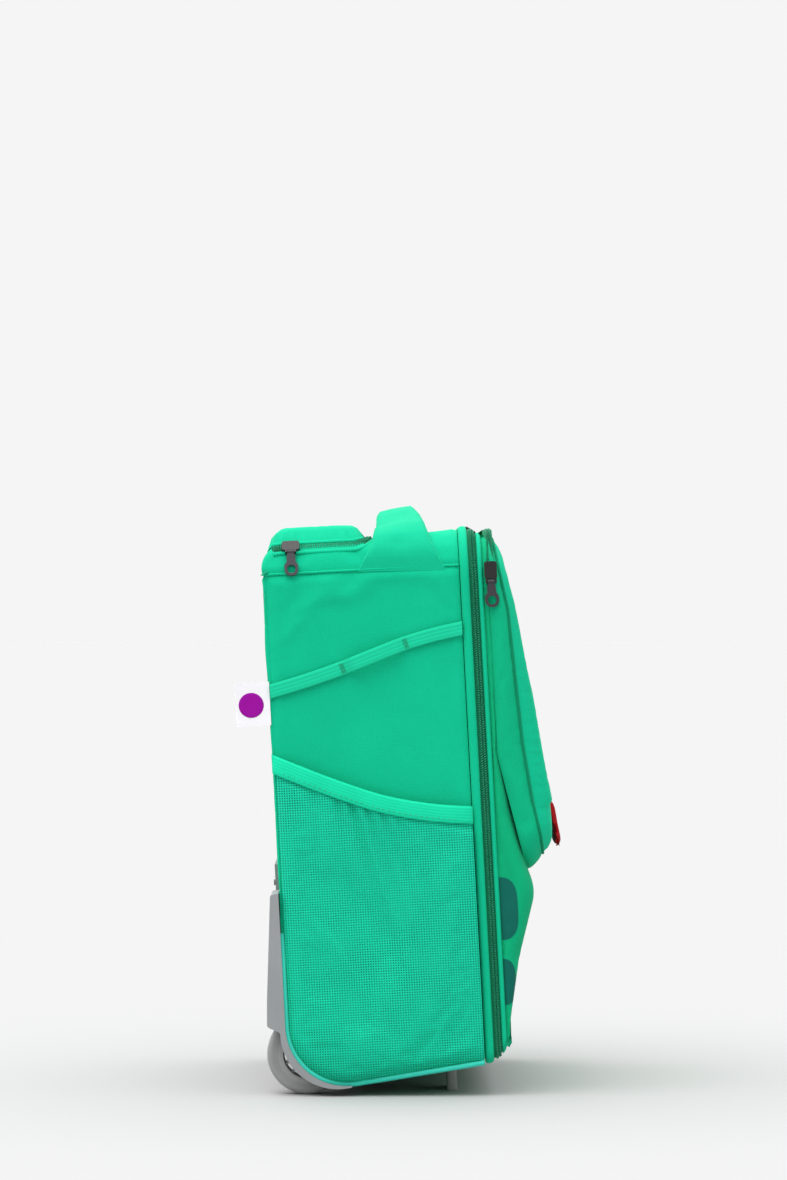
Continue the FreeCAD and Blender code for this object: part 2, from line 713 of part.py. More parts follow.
def handle_housing(outside, inside):
    """The tray for the grip and the sockets that hold the outer tubes' feet."""
    tray = tray_block().cut(tray_block(TRAY_WALL)).common(outside)
    holes = tube_holes(MIDDLE_TUBE_RADIUS + TUBE_CLEARANCE, TRAY_FLOOR - 1, YOKE_FLOOR)
    tray = tray.cut(holes)
    feet = []
    for foot in tube_holes(OUTER_TUBE_RADIUS + SOCKET_WALL, -REACH, TUBE_FOOT + SOCKET_DEPTH):
        feet.append(foot.common(inside))
    tubes = tube_holes(OUTER_TUBE_RADIUS, TUBE_FOOT, TUBE_FOOT + 2 * SOCKET_DEPTH)
    return {
        "handle_tray": tray,
        "tube_sockets": group([foot.cut(tubes) for foot in feet]),
    }


# ---- Flap over the grip ------------------------------------------------------

def flap_pieces(outside):
    """The padded flap over the tray and the zip round three of its sides."""
    hinge_ahead = BACK + FLAP_HINGE_BACK - 0.4
    bottom = CASE_TOP - FLAP_SKIRT
    top = CASE_TOP + FLAP_RISE
    profile = [
        (hinge_ahead, bottom, 0.0),
        (FLAP_FRONT, bottom, 0.0),
        (FLAP_FRONT, top - 0.6, 4.0),
        (BACK + 24.0, top, 20.0),
        (BACK + 5.6, top - 5.0, 6.0),
    ]
    half = FLAP_HALF_WIDTH
    front = [(-half, bottom, 0.0), (half, bottom, 0.0), (half, top, 20.0), (-half, top, 20.0)]
    flap = prism_across(profile).common(prism_ahead(front)).cut(case_block(-FLAP_GAP))
    edge = FLAP_GAP + FLAP_COIL
    ring = rectangle(-half - edge, half + edge, BACK + 12.0, FLAP_FRONT + edge, 6.0)
    hole = rectangle(-half - FLAP_GAP, half + FLAP_GAP, BACK - 30.0, FLAP_FRONT + FLAP_GAP, 4.0)
    skin = case_block(-COIL_PROUD).cut(outside)
    coil = prism_up(ring, SHOULDER_SEAM).cut(prism_up(hole, 0.0)).common(skin)
    return {"handle_flap": flap, "flap_zip_coil": coil}


# ---- Wheels and what guards them ---------------------------------------------

def turned_across(corners, centre):
    """A ring turned about the wheel axle from corners (radius, across, rounding)."""
    face = rounded_face(corners, lambda radius, across: V(centre + across, 0, radius))
    return face.revolve(V(centre, 0, 0), V(1, 0, 0), 360)


def wheel(sign):
    """Tyre, hub with its ring of slots, and bush."""
    centre = sign * WHEEL_ACROSS
    half = WHEEL_WIDTH / 2
    rim = WHEEL_RADIUS - TYRE_THICK
    bore = AXLE_RADIUS + AXLE_CLEARANCE
    tyre = turned_across(
        [(rim, -half, 0.0), (rim, half, 0.0), (WHEEL_RADIUS, half, 3.5), (WHEEL_RADIUS, -half, 3.5)],
        centre)
    web = half - 4.0
    hub = turned_across(
        [(BUSH_RADIUS, -half, 0.0), (HUB_BOSS_RADIUS, -half, 0.0), (HUB_BOSS_RADIUS + 1.5, -web, 0.0),
         (SLOT_OUTER, -web, 0.0), (SLOT_OUTER + 0.6, -half, 0.0), (rim, -half, 0.0),
         (rim, half, 0.0), (SLOT_OUTER + 0.6, half, 0.0), (SLOT_OUTER, web, 0.0),
         (HUB_BOSS_RADIUS + 1.5, web, 0.0), (HUB_BOSS_RADIUS, half, 0.0), (BUSH_RADIUS, half, 0.0)],
        centre)
    slots = rod_across(SLOT_OUTER, centre - half, centre + half).cut(
        rod_across(SLOT_INNER, centre - half, centre + half))
    for index in range(SPOKES):
        spoke = Part.makeBox(WHEEL_WIDTH, SPOKE_WIDTH, SLOT_OUTER + 1.0,
                             V(centre - half, -SPOKE_WIDTH / 2, 0))
        spoke.rotate(V(0, 0, 0), V(1, 0, 0), 360.0 * index / SPOKES)
        slots = slots.cut(spoke)
    long = half + 1.6
    bush = rod_across(BUSH_RADIUS, centre - long, centre + long).cut(
        rod_across(bore, centre - long, centre + long))
    return {"tyre": tyre, "wheel_hub": hub.cut(slots), "wheel_bush": bush}


def wheels():
    """Both wheels."""
    pieces = {}
    for side, sign in SIDES.items():
        for name, shape in wheel(sign).items():
            pieces[f"{name}_{side}"] = shape
    return pieces


def guard_outline():
    """Side view of a corner guard's outer face, anticlockwise from its top."""
    slope = (HEEL_DROP - TOE_DROP) / (LID_FRONT - TOE_SETBACK - BACK)
    drop = HEEL_DROP + GUARD_SOLE
    return [
        (BACK + FABRIC, GUARD_TOP, 0.0),
        (BACK - GUARD_BACK_TOP, GUARD_TOP - 1.2, 2.0),
        (BACK - GUARD_BACK_LOW, GUARD_LOW_HEIGHT, 20.0),
        (BACK - GUARD_BACK_KNEE, GUARD_KNEE_HEIGHT, 3.0),
        (BACK - BAND_THICK, GUARD_STEP_HEIGHT, 2.0),
        (BACK - BAND_THICK, -drop, HEEL_RADIUS + BAND_THICK + 0.8),
        (GUARD_TOE, -drop + (GUARD_TOE - BACK) * slope, 2.0),
        (GUARD_TOE, GUARD_STEP_HEIGHT, 0.0),
    ]


def corner_guards(outside, outline):
    """The moulded guards that wrap the heel corners and house the wheels."""
    inner = HALF - GUARD_WIDTH
    skin = prism_across(guard_outline(), inner, HALF + GUARD_SIDE_PROUD)
    skin = skin.cut(prism_across(outline))
    cup = rod_across(WELL_RADIUS + WELL_WALL, WELL_IN - WELL_WALL, HALF - FABRIC)
    core = block((0.0, HALF - FABRIC), (-REACH, REACH), (-REACH, REACH))
    cup = cup.common(prism_across(outline)).common(core)
    guard = skin.fuse(cup).cut(rod_across(WELL_RADIUS, WELL_IN, WELL_OUT))
    guard = guard.cut(rod_across(AXLE_RADIUS, inner, HALF - FABRIC)).removeSplitter()
    axle = rod_across(AXLE_RADIUS, WELL_IN - WELL_WALL, HALF - FABRIC)
    pieces = {"wheel_axles": group([axle, mirrored(axle)])}
    for side, sign in SIDES.items():
        pieces[f"corner_guard_{side}"] = on_side(guard, sign)
    return pieces


def above_floor():
    """The space above the floor, in the leaning case's frame."""
    room = block((-REACH, REACH), (-REACH, REACH), (-WHEEL_RADIUS, 2 * REACH))
    room.rotate(V(0, 0, 0), V(1, 0, 0), LEAN)
    return room


def underside(outside, outline):
    """Kick plate, skids, front feet and screws."""
    half = HALF - GUARD_WIDTH - 0.4
    plate = prism_across(inset(outline, -KICK_THICK), -half, half).cut(prism_across(outline))
    plate = plate.common(block((-REACH, REACH), (-REACH, KICK_TOE), (-REACH, KICK_TOP)))
    below = prism_across(inset(outline, -KICK_THICK))
    skids, feet = [], []
    for sign in SIDES.values():
        centre = sign * (half - SKID_WIDTH / 2 - 3.0)
        skid = prism_up(rectangle(centre - SKID_WIDTH / 2, centre + SKID_WIDTH / 2, SKID_START,
                                  SKID_START + SKID_LENGTH, 5.0), -SKID_DROP, 0.0)
        skids.append(skid.cut(plate).cut(outside))
        centre = sign * FOOT_SPACING / 2
        foot = prism_up(rectangle(centre - FOOT_WIDTH / 2, centre + FOOT_WIDTH / 2,
                                  FOOT_AHEAD - FOOT_LENGTH / 2, FOOT_AHEAD + FOOT_LENGTH / 2, 3.0),
                        -REACH, 0.0)
        feet.append(foot.common(above_floor()).cut(outside))
    return {"kick_plate": plate, "skids": group(skids), "front_feet": group(feet)}


def plate_screws():
    """Pan-head screws through the kick plate, at its upper corners and foot."""
    face = BACK - KICK_THICK
    half = HALF - GUARD_WIDTH - 12.0
    heads = []
    for across in (-half, 0.0, half):
        for up in (KICK_TOP - 12.0, HEEL_SEAM + 20.0):
            heads.append(rod(at(across, face, up), V(0, 1, 0), SCREW_RADIUS, SCREW_HEAD))
    return {"plate_screws": group(heads)}


# ---- Inside ------------------------------------------------------------------

def inside_pieces(inside):
    """The board in front of the tubes and the packing straps on it."""
    high = min(TRAY_FLOOR, CASE_TOP - SHOULDER_RADIUS) - BOARD_MARGIN
    board = block((FABRIC - HALF, HALF - FABRIC), (BOARD_AHEAD, BOARD_AHEAD + BOARD), (-REACH, high))
    wells = wheel_wells(WELL_RADIUS + WELL_WALL + BOARD_MARGIN, WELL_IN - WELL_WALL - BOARD_MARGIN,
                        HALF)
    front = BOARD_AHEAD + BOARD
    straps = []
    for share in (0.35, 0.75):
        up = high * share
        half = HALF - FABRIC - 16.0
        straps.append(block((-half, half), (front, front + PACKING_THICK), (up, up + PACKING_WIDTH)))
    return {
        "back_board": board.common(inside).cut(wells),
        "packing_straps": group(straps),
    }


# ---- Zip sliders -------------------------------------------------------------

def slider_shape(length=SLIDER_LENGTH, width=SLIDER_WIDTH):
    """A slider about the origin: it lies in XY, faces +Z, and its pull hangs towards -X."""
    half = length / 2
    plate = rounded_face(rectangle(-half, half, -width / 2, width / 2, 1.8), lambda u, v: V(u, v, 0))
    body = plate.extrude(V(0, 0, SLIDER_THICK))
    lug_end = -half - LUG_REACH - 1.2
    lugs = []
    for sign in SIDES.values():
        inner = sign * 2.6
        outer = sign * 3.8
        low = min(inner, outer)
        lugs.append(Part.makeBox(-half + 1.0 - lug_end, 1.2, 2.6, V(lug_end, low, PIN_HEIGHT - 1.3)))
    pin = rod(V(-half - LUG_REACH, -3.0, PIN_HEIGHT), V(0, 1, 0), PIN_RADIUS, 6.0)
    clear = Part.makeBox(4.0, 5.0, 4.0, V(-half - 3.9, -2.5, -0.5))
    return body.cut(clear).fuse(lugs + [pin]).removeSplitter()


def pull_shape():
    """A pull about its own pin, hanging towards -X, with an open loop in its lower part."""
    eye = rod(V(0, -2.3, 0), V(0, 1, 0), PIN_RADIUS + 0.75, 4.6)
    wide, narrow = PULL_RING / 2, PULL_NECK / 2
    shoulder = PULL_RING - PULL_LENGTH
    outline = [
        (-PULL_LENGTH, -wide, wide - 0.3), (shoulder - 1.5, -wide, 2.0), (shoulder + 0.5, -narrow, 1.0),
        (-3.4, -narrow, 0.6), (-2.2, -2.3, 0.4), (0.0, -2.3, 0.0), (0.0, 2.3, 0.0), (-2.2, 2.3, 0.4),
        (-3.4, narrow, 0.6), (shoulder + 0.5, narrow, 1.0), (shoulder - 1.5, wide, 2.0),
        (-PULL_LENGTH, wide, wide - 0.3),
    ]
    hollow = wide - 1.9
    loop = rectangle(-PULL_LENGTH + 1.9, shoulder - 1.7, -hollow, hollow, hollow - 0.2)
    low = -PULL_THICK / 2
    tab = rounded_face(outline, lambda u, v: V(u, v, low)).extrude(V(0, 0, PULL_THICK))
    hole = rounded_face(loop, lambda u, v: V(u, v, low)).extrude(V(0, 0, PULL_THICK))
    bore = rod(V(0, -3.0, 0), V(0, 1, 0), PIN_RADIUS + AXLE_CLEARANCE, 6.0)
    return tab.fuse(eye).cut(hole).cut(bore).removeSplitter()


def placed(shape, origin, up_pull, out):
    """A slider or pull taken to a place: up_pull is its own +X and out its own +Z."""
    across = out.cross(up_pull)
    shape.Placement = FreeCAD.Placement(origin, FreeCAD.Rotation(up_pull, across, out, "ZXY"))
    return shape


def pin_point(seat, up_pull, out, length=SLIDER_LENGTH):
    """Where a seated slider's pull pin is."""
    return seat - up_pull * (length / 2 + LUG_REACH) + out * PIN_HEIGHT


def main_seat():
    """The main slider's seat on the top slope, with its direction and outward normal."""
    fall = RIDGE - (CASE_TOP - VALLEY_DROP)
    run = LID_SEAM + 0.8 - (SEAM + RIDGE_AHEAD)
    ahead = ZIP_CENTRE + 0.8
    up = RIDGE - fall * (ahead - SEAM - RIDGE_AHEAD) / run
    out = at(0.0, fall, run).normalize()
    seat = at(MAIN_SLIDER_ACROSS, ahead, up) + out * (COIL_PROUD + SLIDER_GAP)
    return seat, V(-1, 0, 0), out


def pocket_seat():
    """The pocket slider's seat at the left end of the pocket's zip."""
    out = V(-1, 0, 0)
    seat = at(-HALF - SLIDER_GAP, LID_FRONT + 1.5, CASE_TOP - POCKET_SLIDER_DROP)
    return seat, V(0, 0, 1), out


def flap_seat():
    """The flap slider's seat on the left shoulder."""
    turn = math.radians(46.0)
    out = V(-math.cos(turn), 0, math.sin(turn))
    centre = at(SHOULDER_RADIUS - HALF, FLAP_SLIDER_AHEAD, RIDGE + 0.4 - SHOULDER_RADIUS)
    seat = centre + out * (SHOULDER_RADIUS + COIL_PROUD + SLIDER_GAP)
    return seat, V(math.sin(turn), 0, math.cos(turn)), out


def flap_pull_hang():
    """The flap's pull hangs over the shoulder, a little out from upright."""
    lean_out = math.radians(20.0)
    return V(math.sin(lean_out), 0, math.cos(lean_out)), V(-math.cos(lean_out), 0, math.sin(lean_out))


def zip_sliders():
    """The three sliders and their pulls."""
    seat, up_pull, out = main_seat()
    pieces = {
        "main_slider": placed(slider_shape(), seat, up_pull, out),
        "main_pull": placed(pull_shape(), pin_point(seat, up_pull, out), up_pull, out),
    }
    seat, up_pull, out = pocket_seat()
    pieces["pocket_slider"] = placed(slider_shape(), seat, up_pull, out)
    pieces["pocket_pull"] = placed(pull_shape(), pin_point(seat, up_pull, out), up_pull, out)
    seat, up_pull, out = flap_seat()
    pieces["flap_slider"] = placed(slider_shape(SLIDER_WIDTH, SLIDER_LENGTH), seat, up_pull, out)
    pin = pin_point(seat, up_pull, out, SLIDER_WIDTH)
    pieces["flap_pull"] = placed(pull_shape(), pin, *flap_pull_hang())
    return pieces


# ---- The whole case ----------------------------------------------------------

def all_pieces():
    """Every piece by name, in the case frame."""
    outside, inside = case_block(), case_block(FABRIC)
    outline = case_outline()
    pieces = {}
    pieces.update(body_panels(outside, inside))
    pieces.update(zip_halves(outside, inside))
    pieces.update(lid_pieces(outside, inside))
    pieces.update(pocket_pieces(outside))
    pieces.update(tab_piece())
    pieces.update(side_pieces(outside))
    pieces["carry_handle"] = carry_handle().cut(outside)
    pieces.update(telescopic_tubes())
    pieces.update(grip_pieces())
    pieces.update(handle_housing(outside, inside))
    pieces.update(flap_pieces(outside))
    pieces.update(wheels())
    pieces.update(corner_guards(outside, outline))
    pieces.update(underside(outside, outline))
    pieces.update(plate_screws())
    pieces.update(inside_pieces(inside))
    pieces.update(zip_sliders())
    return pieces


def standing_shift(pieces):
    """How far to move the leaned pieces so that they stand about the origin."""
    boxes = [shape.optimalBoundingBox(False) for shape in pieces.values()]
    low = min(box.YMin for box in boxes)
    high = max(box.YMax for box in boxes)
    return V(0, -(low + high) / 2, WHEEL_RADIUS)


def stand_up(pieces):
    """Lean every piece back and stand it on the floor, in place; gives the shift."""
    for name, shape in pieces.items():
        leaned = shape.copy()
        leaned.rotate(V(0, 0, 0), V(1, 0, 0), -LEAN)
        pieces[name] = leaned
    shift = standing_shift(pieces)
    for shape in pieces.values():
        shape.translate(shift)
    return shift


def main():
    """Build the case and write one file for each piece."""
    os.makedirs("parts", exist_ok=True)
    pieces = all_pieces()
    stand_up(pieces)
    for name, shape in pieces.items():
        shape.exportStep(f"parts/{name}.step")


if __name__ == "__main__":
    main()
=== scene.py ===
"""A child's soft two-wheeled travel case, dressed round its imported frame.

Every length is in millimetres of the case's own frame until a mesh is made: across the case
(its left side is negative), ahead of the wheel axle, and up along the leaning back.
"""

import json
import logging
import math
from collections.abc import Sequence
from dataclasses import dataclass, field
from enum import Enum

import bpy
import numpy as np
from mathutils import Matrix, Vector
from mathutils.geometry import delaunay_2d_cdt

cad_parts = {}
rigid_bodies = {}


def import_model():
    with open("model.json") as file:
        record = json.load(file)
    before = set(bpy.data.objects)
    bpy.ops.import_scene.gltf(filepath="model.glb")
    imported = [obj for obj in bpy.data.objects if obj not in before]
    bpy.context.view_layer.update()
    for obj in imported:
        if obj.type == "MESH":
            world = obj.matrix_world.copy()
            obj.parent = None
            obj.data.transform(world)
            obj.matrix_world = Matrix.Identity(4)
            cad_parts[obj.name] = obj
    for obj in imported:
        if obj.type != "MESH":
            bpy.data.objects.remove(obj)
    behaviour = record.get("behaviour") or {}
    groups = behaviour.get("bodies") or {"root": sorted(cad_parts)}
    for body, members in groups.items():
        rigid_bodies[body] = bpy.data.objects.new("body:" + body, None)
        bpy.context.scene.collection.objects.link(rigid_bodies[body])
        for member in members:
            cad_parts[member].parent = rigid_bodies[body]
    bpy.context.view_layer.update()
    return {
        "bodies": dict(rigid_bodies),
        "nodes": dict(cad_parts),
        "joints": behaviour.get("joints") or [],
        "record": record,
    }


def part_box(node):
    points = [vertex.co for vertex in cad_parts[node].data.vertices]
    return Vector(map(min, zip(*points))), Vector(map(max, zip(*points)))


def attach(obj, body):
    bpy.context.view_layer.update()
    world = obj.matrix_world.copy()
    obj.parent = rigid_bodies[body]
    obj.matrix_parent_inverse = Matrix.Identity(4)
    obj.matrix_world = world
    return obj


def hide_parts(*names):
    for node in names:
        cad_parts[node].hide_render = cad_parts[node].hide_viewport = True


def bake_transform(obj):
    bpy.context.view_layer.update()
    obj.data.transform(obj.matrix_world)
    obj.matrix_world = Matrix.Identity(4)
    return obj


LOG = logging.getLogger("travel_case")
MM = 0.001
TINY = 1e-9
TRIANGLE_ROWS = 0.866  # rows of even triangles lie this share of their side apart
CORNER_FIT = 0.999  # share of an edge that its two rounded corners may take
ONE_WAVE = math.pi / 10  # scale at which a wave texture repeats once in each unit
MIRROR = np.array([-1, 1, 1])
Faces = list[tuple[int, ...]]
Corners = Sequence[tuple[float, float, float]]


class Side(Enum):
    """The two sides of the case, with the sign of their across coordinate."""

    LEFT = -1
    RIGHT = 1

    @property
    def label(self) -> str:
        """The side's word in the names of pieces."""
        return self.name.lower()

    def facing(self, count: int) -> np.ndarray:
        """The way this side looks, once for each of a number of points."""
        return np.repeat(np.array([[float(self.value), 0.0, 0.0]]), count, 0)


# ---- The case's frame and shape ----------------------------------------------


@dataclass(frozen=True)
class CaseFrame:
    """The leaning case's frame, with its origin in the middle of the wheel axle."""

    axle: Vector
    lean: float = math.radians(3.0)

    def world(self, points: np.ndarray) -> np.ndarray:
        """Takes case points in millimetres to the row frame in metres.

        Args:
            points: Any array whose last axis is across, ahead, up.

        Returns:
            The same array in metres of the row frame.
        """
        points = np.asarray(points, float)
        sine, cosine = math.sin(self.lean), math.cos(self.lean)
        across, ahead, up = points[..., 0], points[..., 1], points[..., 2]
        turned = np.stack([across, up * sine - ahead * cosine, ahead * sine + up * cosine], -1)
        return turned * MM + np.array(self.axle)

    def case(self, points: np.ndarray) -> np.ndarray:
        """Takes row frame points in metres back to the case's millimetres."""
        moved = (np.asarray(points, float) - np.array(self.axle)) / MM
        sine, cosine = math.sin(self.lean), math.cos(self.lean)
        return np.stack([moved[..., 0], moved[..., 2] * sine - moved[..., 1] * cosine,
                         moved[..., 1] * sine + moved[..., 2] * cosine], -1)

    def spot(self, across: float, ahead: float, up: float) -> tuple[float, float, float]:
        """One case point in the row frame, as plain numbers."""
        return tuple(float(value) for value in self.world(np.array([across, ahead, up])))


def smooth_min(one: np.ndarray, two: np.ndarray, blend: float) -> np.ndarray:
    """The lower of two heights, rounded where they cross.

    Args:
        one: First heights.
        two: Second heights.
        blend: Width of the rounding.

    Returns:
        The blended heights.
    """
    share = np.clip(0.5 + 0.5 * (two - one) / blend, 0.0, 1.0)
    return two * (1 - share) + one * share - blend * share * (1 - share)


def ease(values: np.ndarray) -> np.ndarray:
    """A smooth step from 0 to 1."""
    clipped = np.clip(values, 0.0, 1.0)
    return clipped * clipped * (3 - 2 * clipped)


def unit(vectors: np.ndarray) -> np.ndarray:
    """The same directions at length one; a vector with no length stays as it is."""
    return vectors / np.maximum(np.linalg.norm(vectors, axis=1), TINY)[:, None]


def rounded(corners: Corners, step: float = 1.5) -> np.ndarray:
    """A closed outline with its corners rounded.

    Args:
        corners: Corner coordinates, each with its radius, anticlockwise.
        step: Longest chord along an arc.

    Returns:
        Points of the outline, the first not repeated.
    """
    points = np.array([corner[:2] for corner in corners], float)
    before, after = np.roll(points, 1, 0), np.roll(points, -1, 0)
    to_before, to_after = unit(before - points), unit(after - points)
    half = np.arccos(np.clip((to_before * to_after).sum(1), -1, 1)) / 2
    wanted = np.array([corner[2] for corner in corners]) / np.tan(half)
    edge_before = np.linalg.norm(before - points, axis=1)
    edge_after = np.linalg.norm(after - points, axis=1)
    with_before, with_after = wanted + np.roll(wanted, 1), wanted + np.roll(wanted, -1)
    reach = np.minimum(wanted, CORNER_FIT * edge_before * wanted / np.maximum(with_before, TINY))
    reach = np.minimum(reach, CORNER_FIT * edge_after * wanted / np.maximum(with_after, TINY))
    reach = np.where((with_before > edge_before) | (with_after > edge_after), reach, wanted)
    drawn = []
    for index, corner in enumerate(points):
        if reach[index] < 1e-3:
            drawn.append(corner)
            continue
        radius = reach[index] * math.tan(half[index])
        bisector = to_before[index] + to_after[index]
        centre = corner + bisector / np.linalg.norm(bisector) * radius / math.sin(half[index])
        first = corner + to_before[index] * reach[index] - centre
        last = corner + to_after[index] * reach[index] - centre
        turn = math.pi - 2 * half[index]
        count = max(2, int(math.ceil(radius * turn / step)))
        for part in range(count + 1):
            share = part / count
            arm = (math.sin((1 - share) * turn) * first + math.sin(share * turn) * last) / math.sin(turn)
            drawn.append(centre + arm)
    return np.array(drawn)


def measured(line: np.ndarray) -> np.ndarray:
    """Distance along a line at each of its points."""
    return np.concatenate([[0.0], np.cumsum(np.linalg.norm(np.diff(line, axis=0), axis=1))])


def sampled(values: np.ndarray, along: np.ndarray, places: np.ndarray) -> np.ndarray:
    """Values known at distances along a line, read at other distances along it."""
    return np.stack([np.interp(places, along, column) for column in values.T], 1)


def resampled(line: np.ndarray, step: float) -> np.ndarray:
    """An open line with evenly spaced points.

    Args:
        line: Points of the line.
        step: Wanted spacing.

    Returns:
        The line with both its ends kept.
    """
    along = measured(line)
    keep = np.concatenate([[True], np.diff(along) > 1e-9])
    line, along = line[keep], along[keep]
    places = np.linspace(0, along[-1], max(2, int(round(along[-1] / step)) + 1))
    return sampled(line, along, places)


def faired(line: np.ndarray, step: float) -> np.ndarray:
    """A smooth curve through a few points, evenly spaced."""
    along = measured(line)
    places = np.linspace(0, along[-1], max(3, int(round(along[-1] / step)) + 1))
    slopes = np.gradient(line, along, axis=0)
    found = np.clip(np.searchsorted(along, places, "right") - 1, 0, len(along) - 2)
    width = (along[found + 1] - along[found])[:, None]
    share = ((places - along[found]) / width[:, 0])[:, None]
    ends = (1 + 2 * share) * (1 - share) ** 2 * line[found] + share ** 2 * (3 - 2 * share) * line[found + 1]
    leaving, arriving = share * (1 - share) ** 2, share ** 2 * (1 - share)
    return ends + width * (leaving * slopes[found] - arriving * slopes[found + 1])


@dataclass(frozen=True)
class CaseShape:
    """The sizes that every sewn panel follows."""

    half: float = 143.0
    back: float = -13.8
    top: float = 349.5
    side_seam: float = 121.2
    lid_seam: float = 136.7
    lid_front: float = 140.7
    zip_centre: float = 130.7
    zip_end: float = 130.0
    shoulder_radius: float = 35.0
    shoulder_up: float = 320.6
    shoulder_seam: float = 329.0
    sole_radius: float = 10.0
    sole_up: float = -14.0
    heel_seam: float = 19.95
    middle: tuple[float, float, float] = (0.0, 60.0, 160.0)

    @property
    def shoulder_across(self) -> float:
        """Where the shoulder's rounding starts."""
        return self.half - self.shoulder_radius

    def outline(self, gap: float = 0.0) -> np.ndarray:
        """Side view of body and lid, drawn in by a gap.

        Args:
            gap: Distance inside the real outline.

        Returns:
            A closed anticlockwise outline of ahead and up.
        """
        lid, top = self.lid_front, self.top
        line = rounded([
            (self.back, -27.05, 42.0), (lid - 5.2, -10.2, 18.0), (lid + 7.7, 57.7, 60.0),
            (lid + 21.2, 106.0, 34.0), (lid + 16.3, 120.3, 5.0), (lid, 199.3, 30.0),
            (lid, top - 3.5, 3.0), (self.lid_seam + 0.8, top - 2.1, 1.0),
            (self.side_seam + 5.1, top + 5.7, 5.0), (self.side_seam / 2, top, 60.0),
            (self.back, top, 18.0),
        ])
        if not gap:
            return line
        tangent = unit(np.roll(line, -1, 0) - np.roll(line, 1, 0))
        return line + gap * np.stack([-tangent[:, 1], tangent[:, 0]], 1)

    def limits_at(self, ahead: float) -> tuple[float, float]:
        """Lowest and highest point of the outline at a place ahead of the axle."""
        line = self.outline()
        after = np.roll(line, -1, 0)
        crossed = (line[:, 0] - ahead) * (after[:, 0] - ahead) <= 0
        crossed &= np.abs(after[:, 0] - line[:, 0]) > 1e-9
        first, second = line[crossed], after[crossed]
        share = (ahead - first[:, 0]) / (second[:, 0] - first[:, 0])
        ups = first[:, 1] + share * (second[:, 1] - first[:, 1])
        return float(ups.min()), float(ups.max())

    def stretch(self, start: tuple[float, float], end: tuple[float, float], step: float,
                gap: float = 0.0) -> np.ndarray:
        """Part of the outline, anticlockwise from one point to another.

        Args:
            start: A point near the outline.
            end: A point near the outline.
            step: Spacing of the points.
            gap: Distance inside the real outline.

        Returns:
            An open line of ahead and up.
        """
        line = self.outline(gap)
        closed = np.vstack([line, line, line[:1]])
        dense = resampled(closed, 0.25)
        loop = len(dense) // 2
        first = int(np.argmin(np.linalg.norm(dense[:loop] - np.array(start), axis=1)))
        ahead_of = dense[first:first + loop]
        last = int(np.argmin(np.linalg.norm(ahead_of - np.array(end), axis=1)))
        return resampled(ahead_of[:last + 1], step)

    def shoulder(self, across: np.ndarray, grow: float = 0.0) -> np.ndarray:
        """Height of the rounded shoulders over a place across the case."""
        beyond = np.clip(np.abs(across) - self.shoulder_across, 0, self.shoulder_radius + grow - 0.01)
        return self.shoulder_up + np.sqrt((self.shoulder_radius + grow) ** 2 - beyond ** 2)

    def roof(self, across: np.ndarray, top: np.ndarray, grow: float = 0.0) -> np.ndarray:
        """Height of the case's top where its side outline is as high as top."""
        return smooth_min(self.shoulder(across, grow), np.asarray(top) + grow, 4.0)

    def half_at(self, up: np.ndarray) -> np.ndarray:
        """Half the case's width at a height."""
        high = np.clip(up - self.shoulder_up, 0, self.shoulder_radius - 0.01)
        low = np.clip(self.sole_up - up, 0, self.sole_radius - 0.01)
        at_top = np.sqrt(self.shoulder_radius ** 2 - high ** 2) - self.shoulder_radius
        at_sole = np.sqrt(self.sole_radius ** 2 - low ** 2) - self.sole_radius
        return self.half + at_top + at_sole

    def loop(self, ahead: float, grow: float) -> np.ndarray:
        """A cross-section of the body, once round from the middle of its sole.

        Args:
            ahead: Where the section is.
            grow: Distance outside the real surface.

        Returns:
            Points across, ahead and up, with the same count at every place.
        """
        low, high = self.limits_at(ahead)
        low, edge = low - grow, 8.0 + grow
        half = self.half + grow
        turn = np.linspace(0, math.pi / 2, 7)[:-1]
        rise = np.linspace(0, math.pi / 2, 17)[:-1]
        sole = np.linspace(0, half - edge, 15)[:-1]
        wall = np.linspace(low + edge, self.shoulder_up, 91)[:-1]
        across = np.concatenate([
            sole, half - edge + edge * np.sin(turn), np.full(90, half),
            self.shoulder_across + (half - self.shoulder_across) * np.cos(rise),
            np.linspace(self.shoulder_across, 0, 15),
        ])
        upper = self.roof(across, np.array(high), grow)
        up = np.concatenate([np.full(14, low), low + edge - edge * np.cos(turn), wall, upper[-31:]])
        left = np.stack([-across, np.full(len(up), ahead), up], 1)
        return np.vstack([left, left[-2:0:-1] * MIRROR])


# ---- Meshes ------------------------------------------------------------------


def inside(points: np.ndarray, outline: np.ndarray) -> np.ndarray:
    """Which points lie in a closed outline."""
    found = np.zeros(len(points), bool)
    for one, two in zip(outline, np.roll(outline, -1, 0)):
        spans = (one[1] > points[:, 1]) != (two[1] > points[:, 1])
        rise = two[1] - one[1] if two[1] != one[1] else 1e-12
        found ^= spans & (points[:, 0] < (two[0] - one[0]) * (points[:, 1] - one[1]) / rise + one[0])
    return found


def distance_to(points: np.ndarray, line: np.ndarray, closed: bool = True) -> np.ndarray:
    """Shortest distance from each point to a line of segments."""
    nearest = np.full(len(points), 1e9)
    seconds = np.roll(line, -1, 0) if closed else line[1:]
    for one, two in zip(line, seconds):
        edge = two - one
        share = np.clip(((points - one) @ edge) / max(edge @ edge, 1e-12), 0, 1)
        nearest = np.minimum(nearest, np.linalg.norm(points - one - share[:, None] * edge, axis=1))
    return nearest


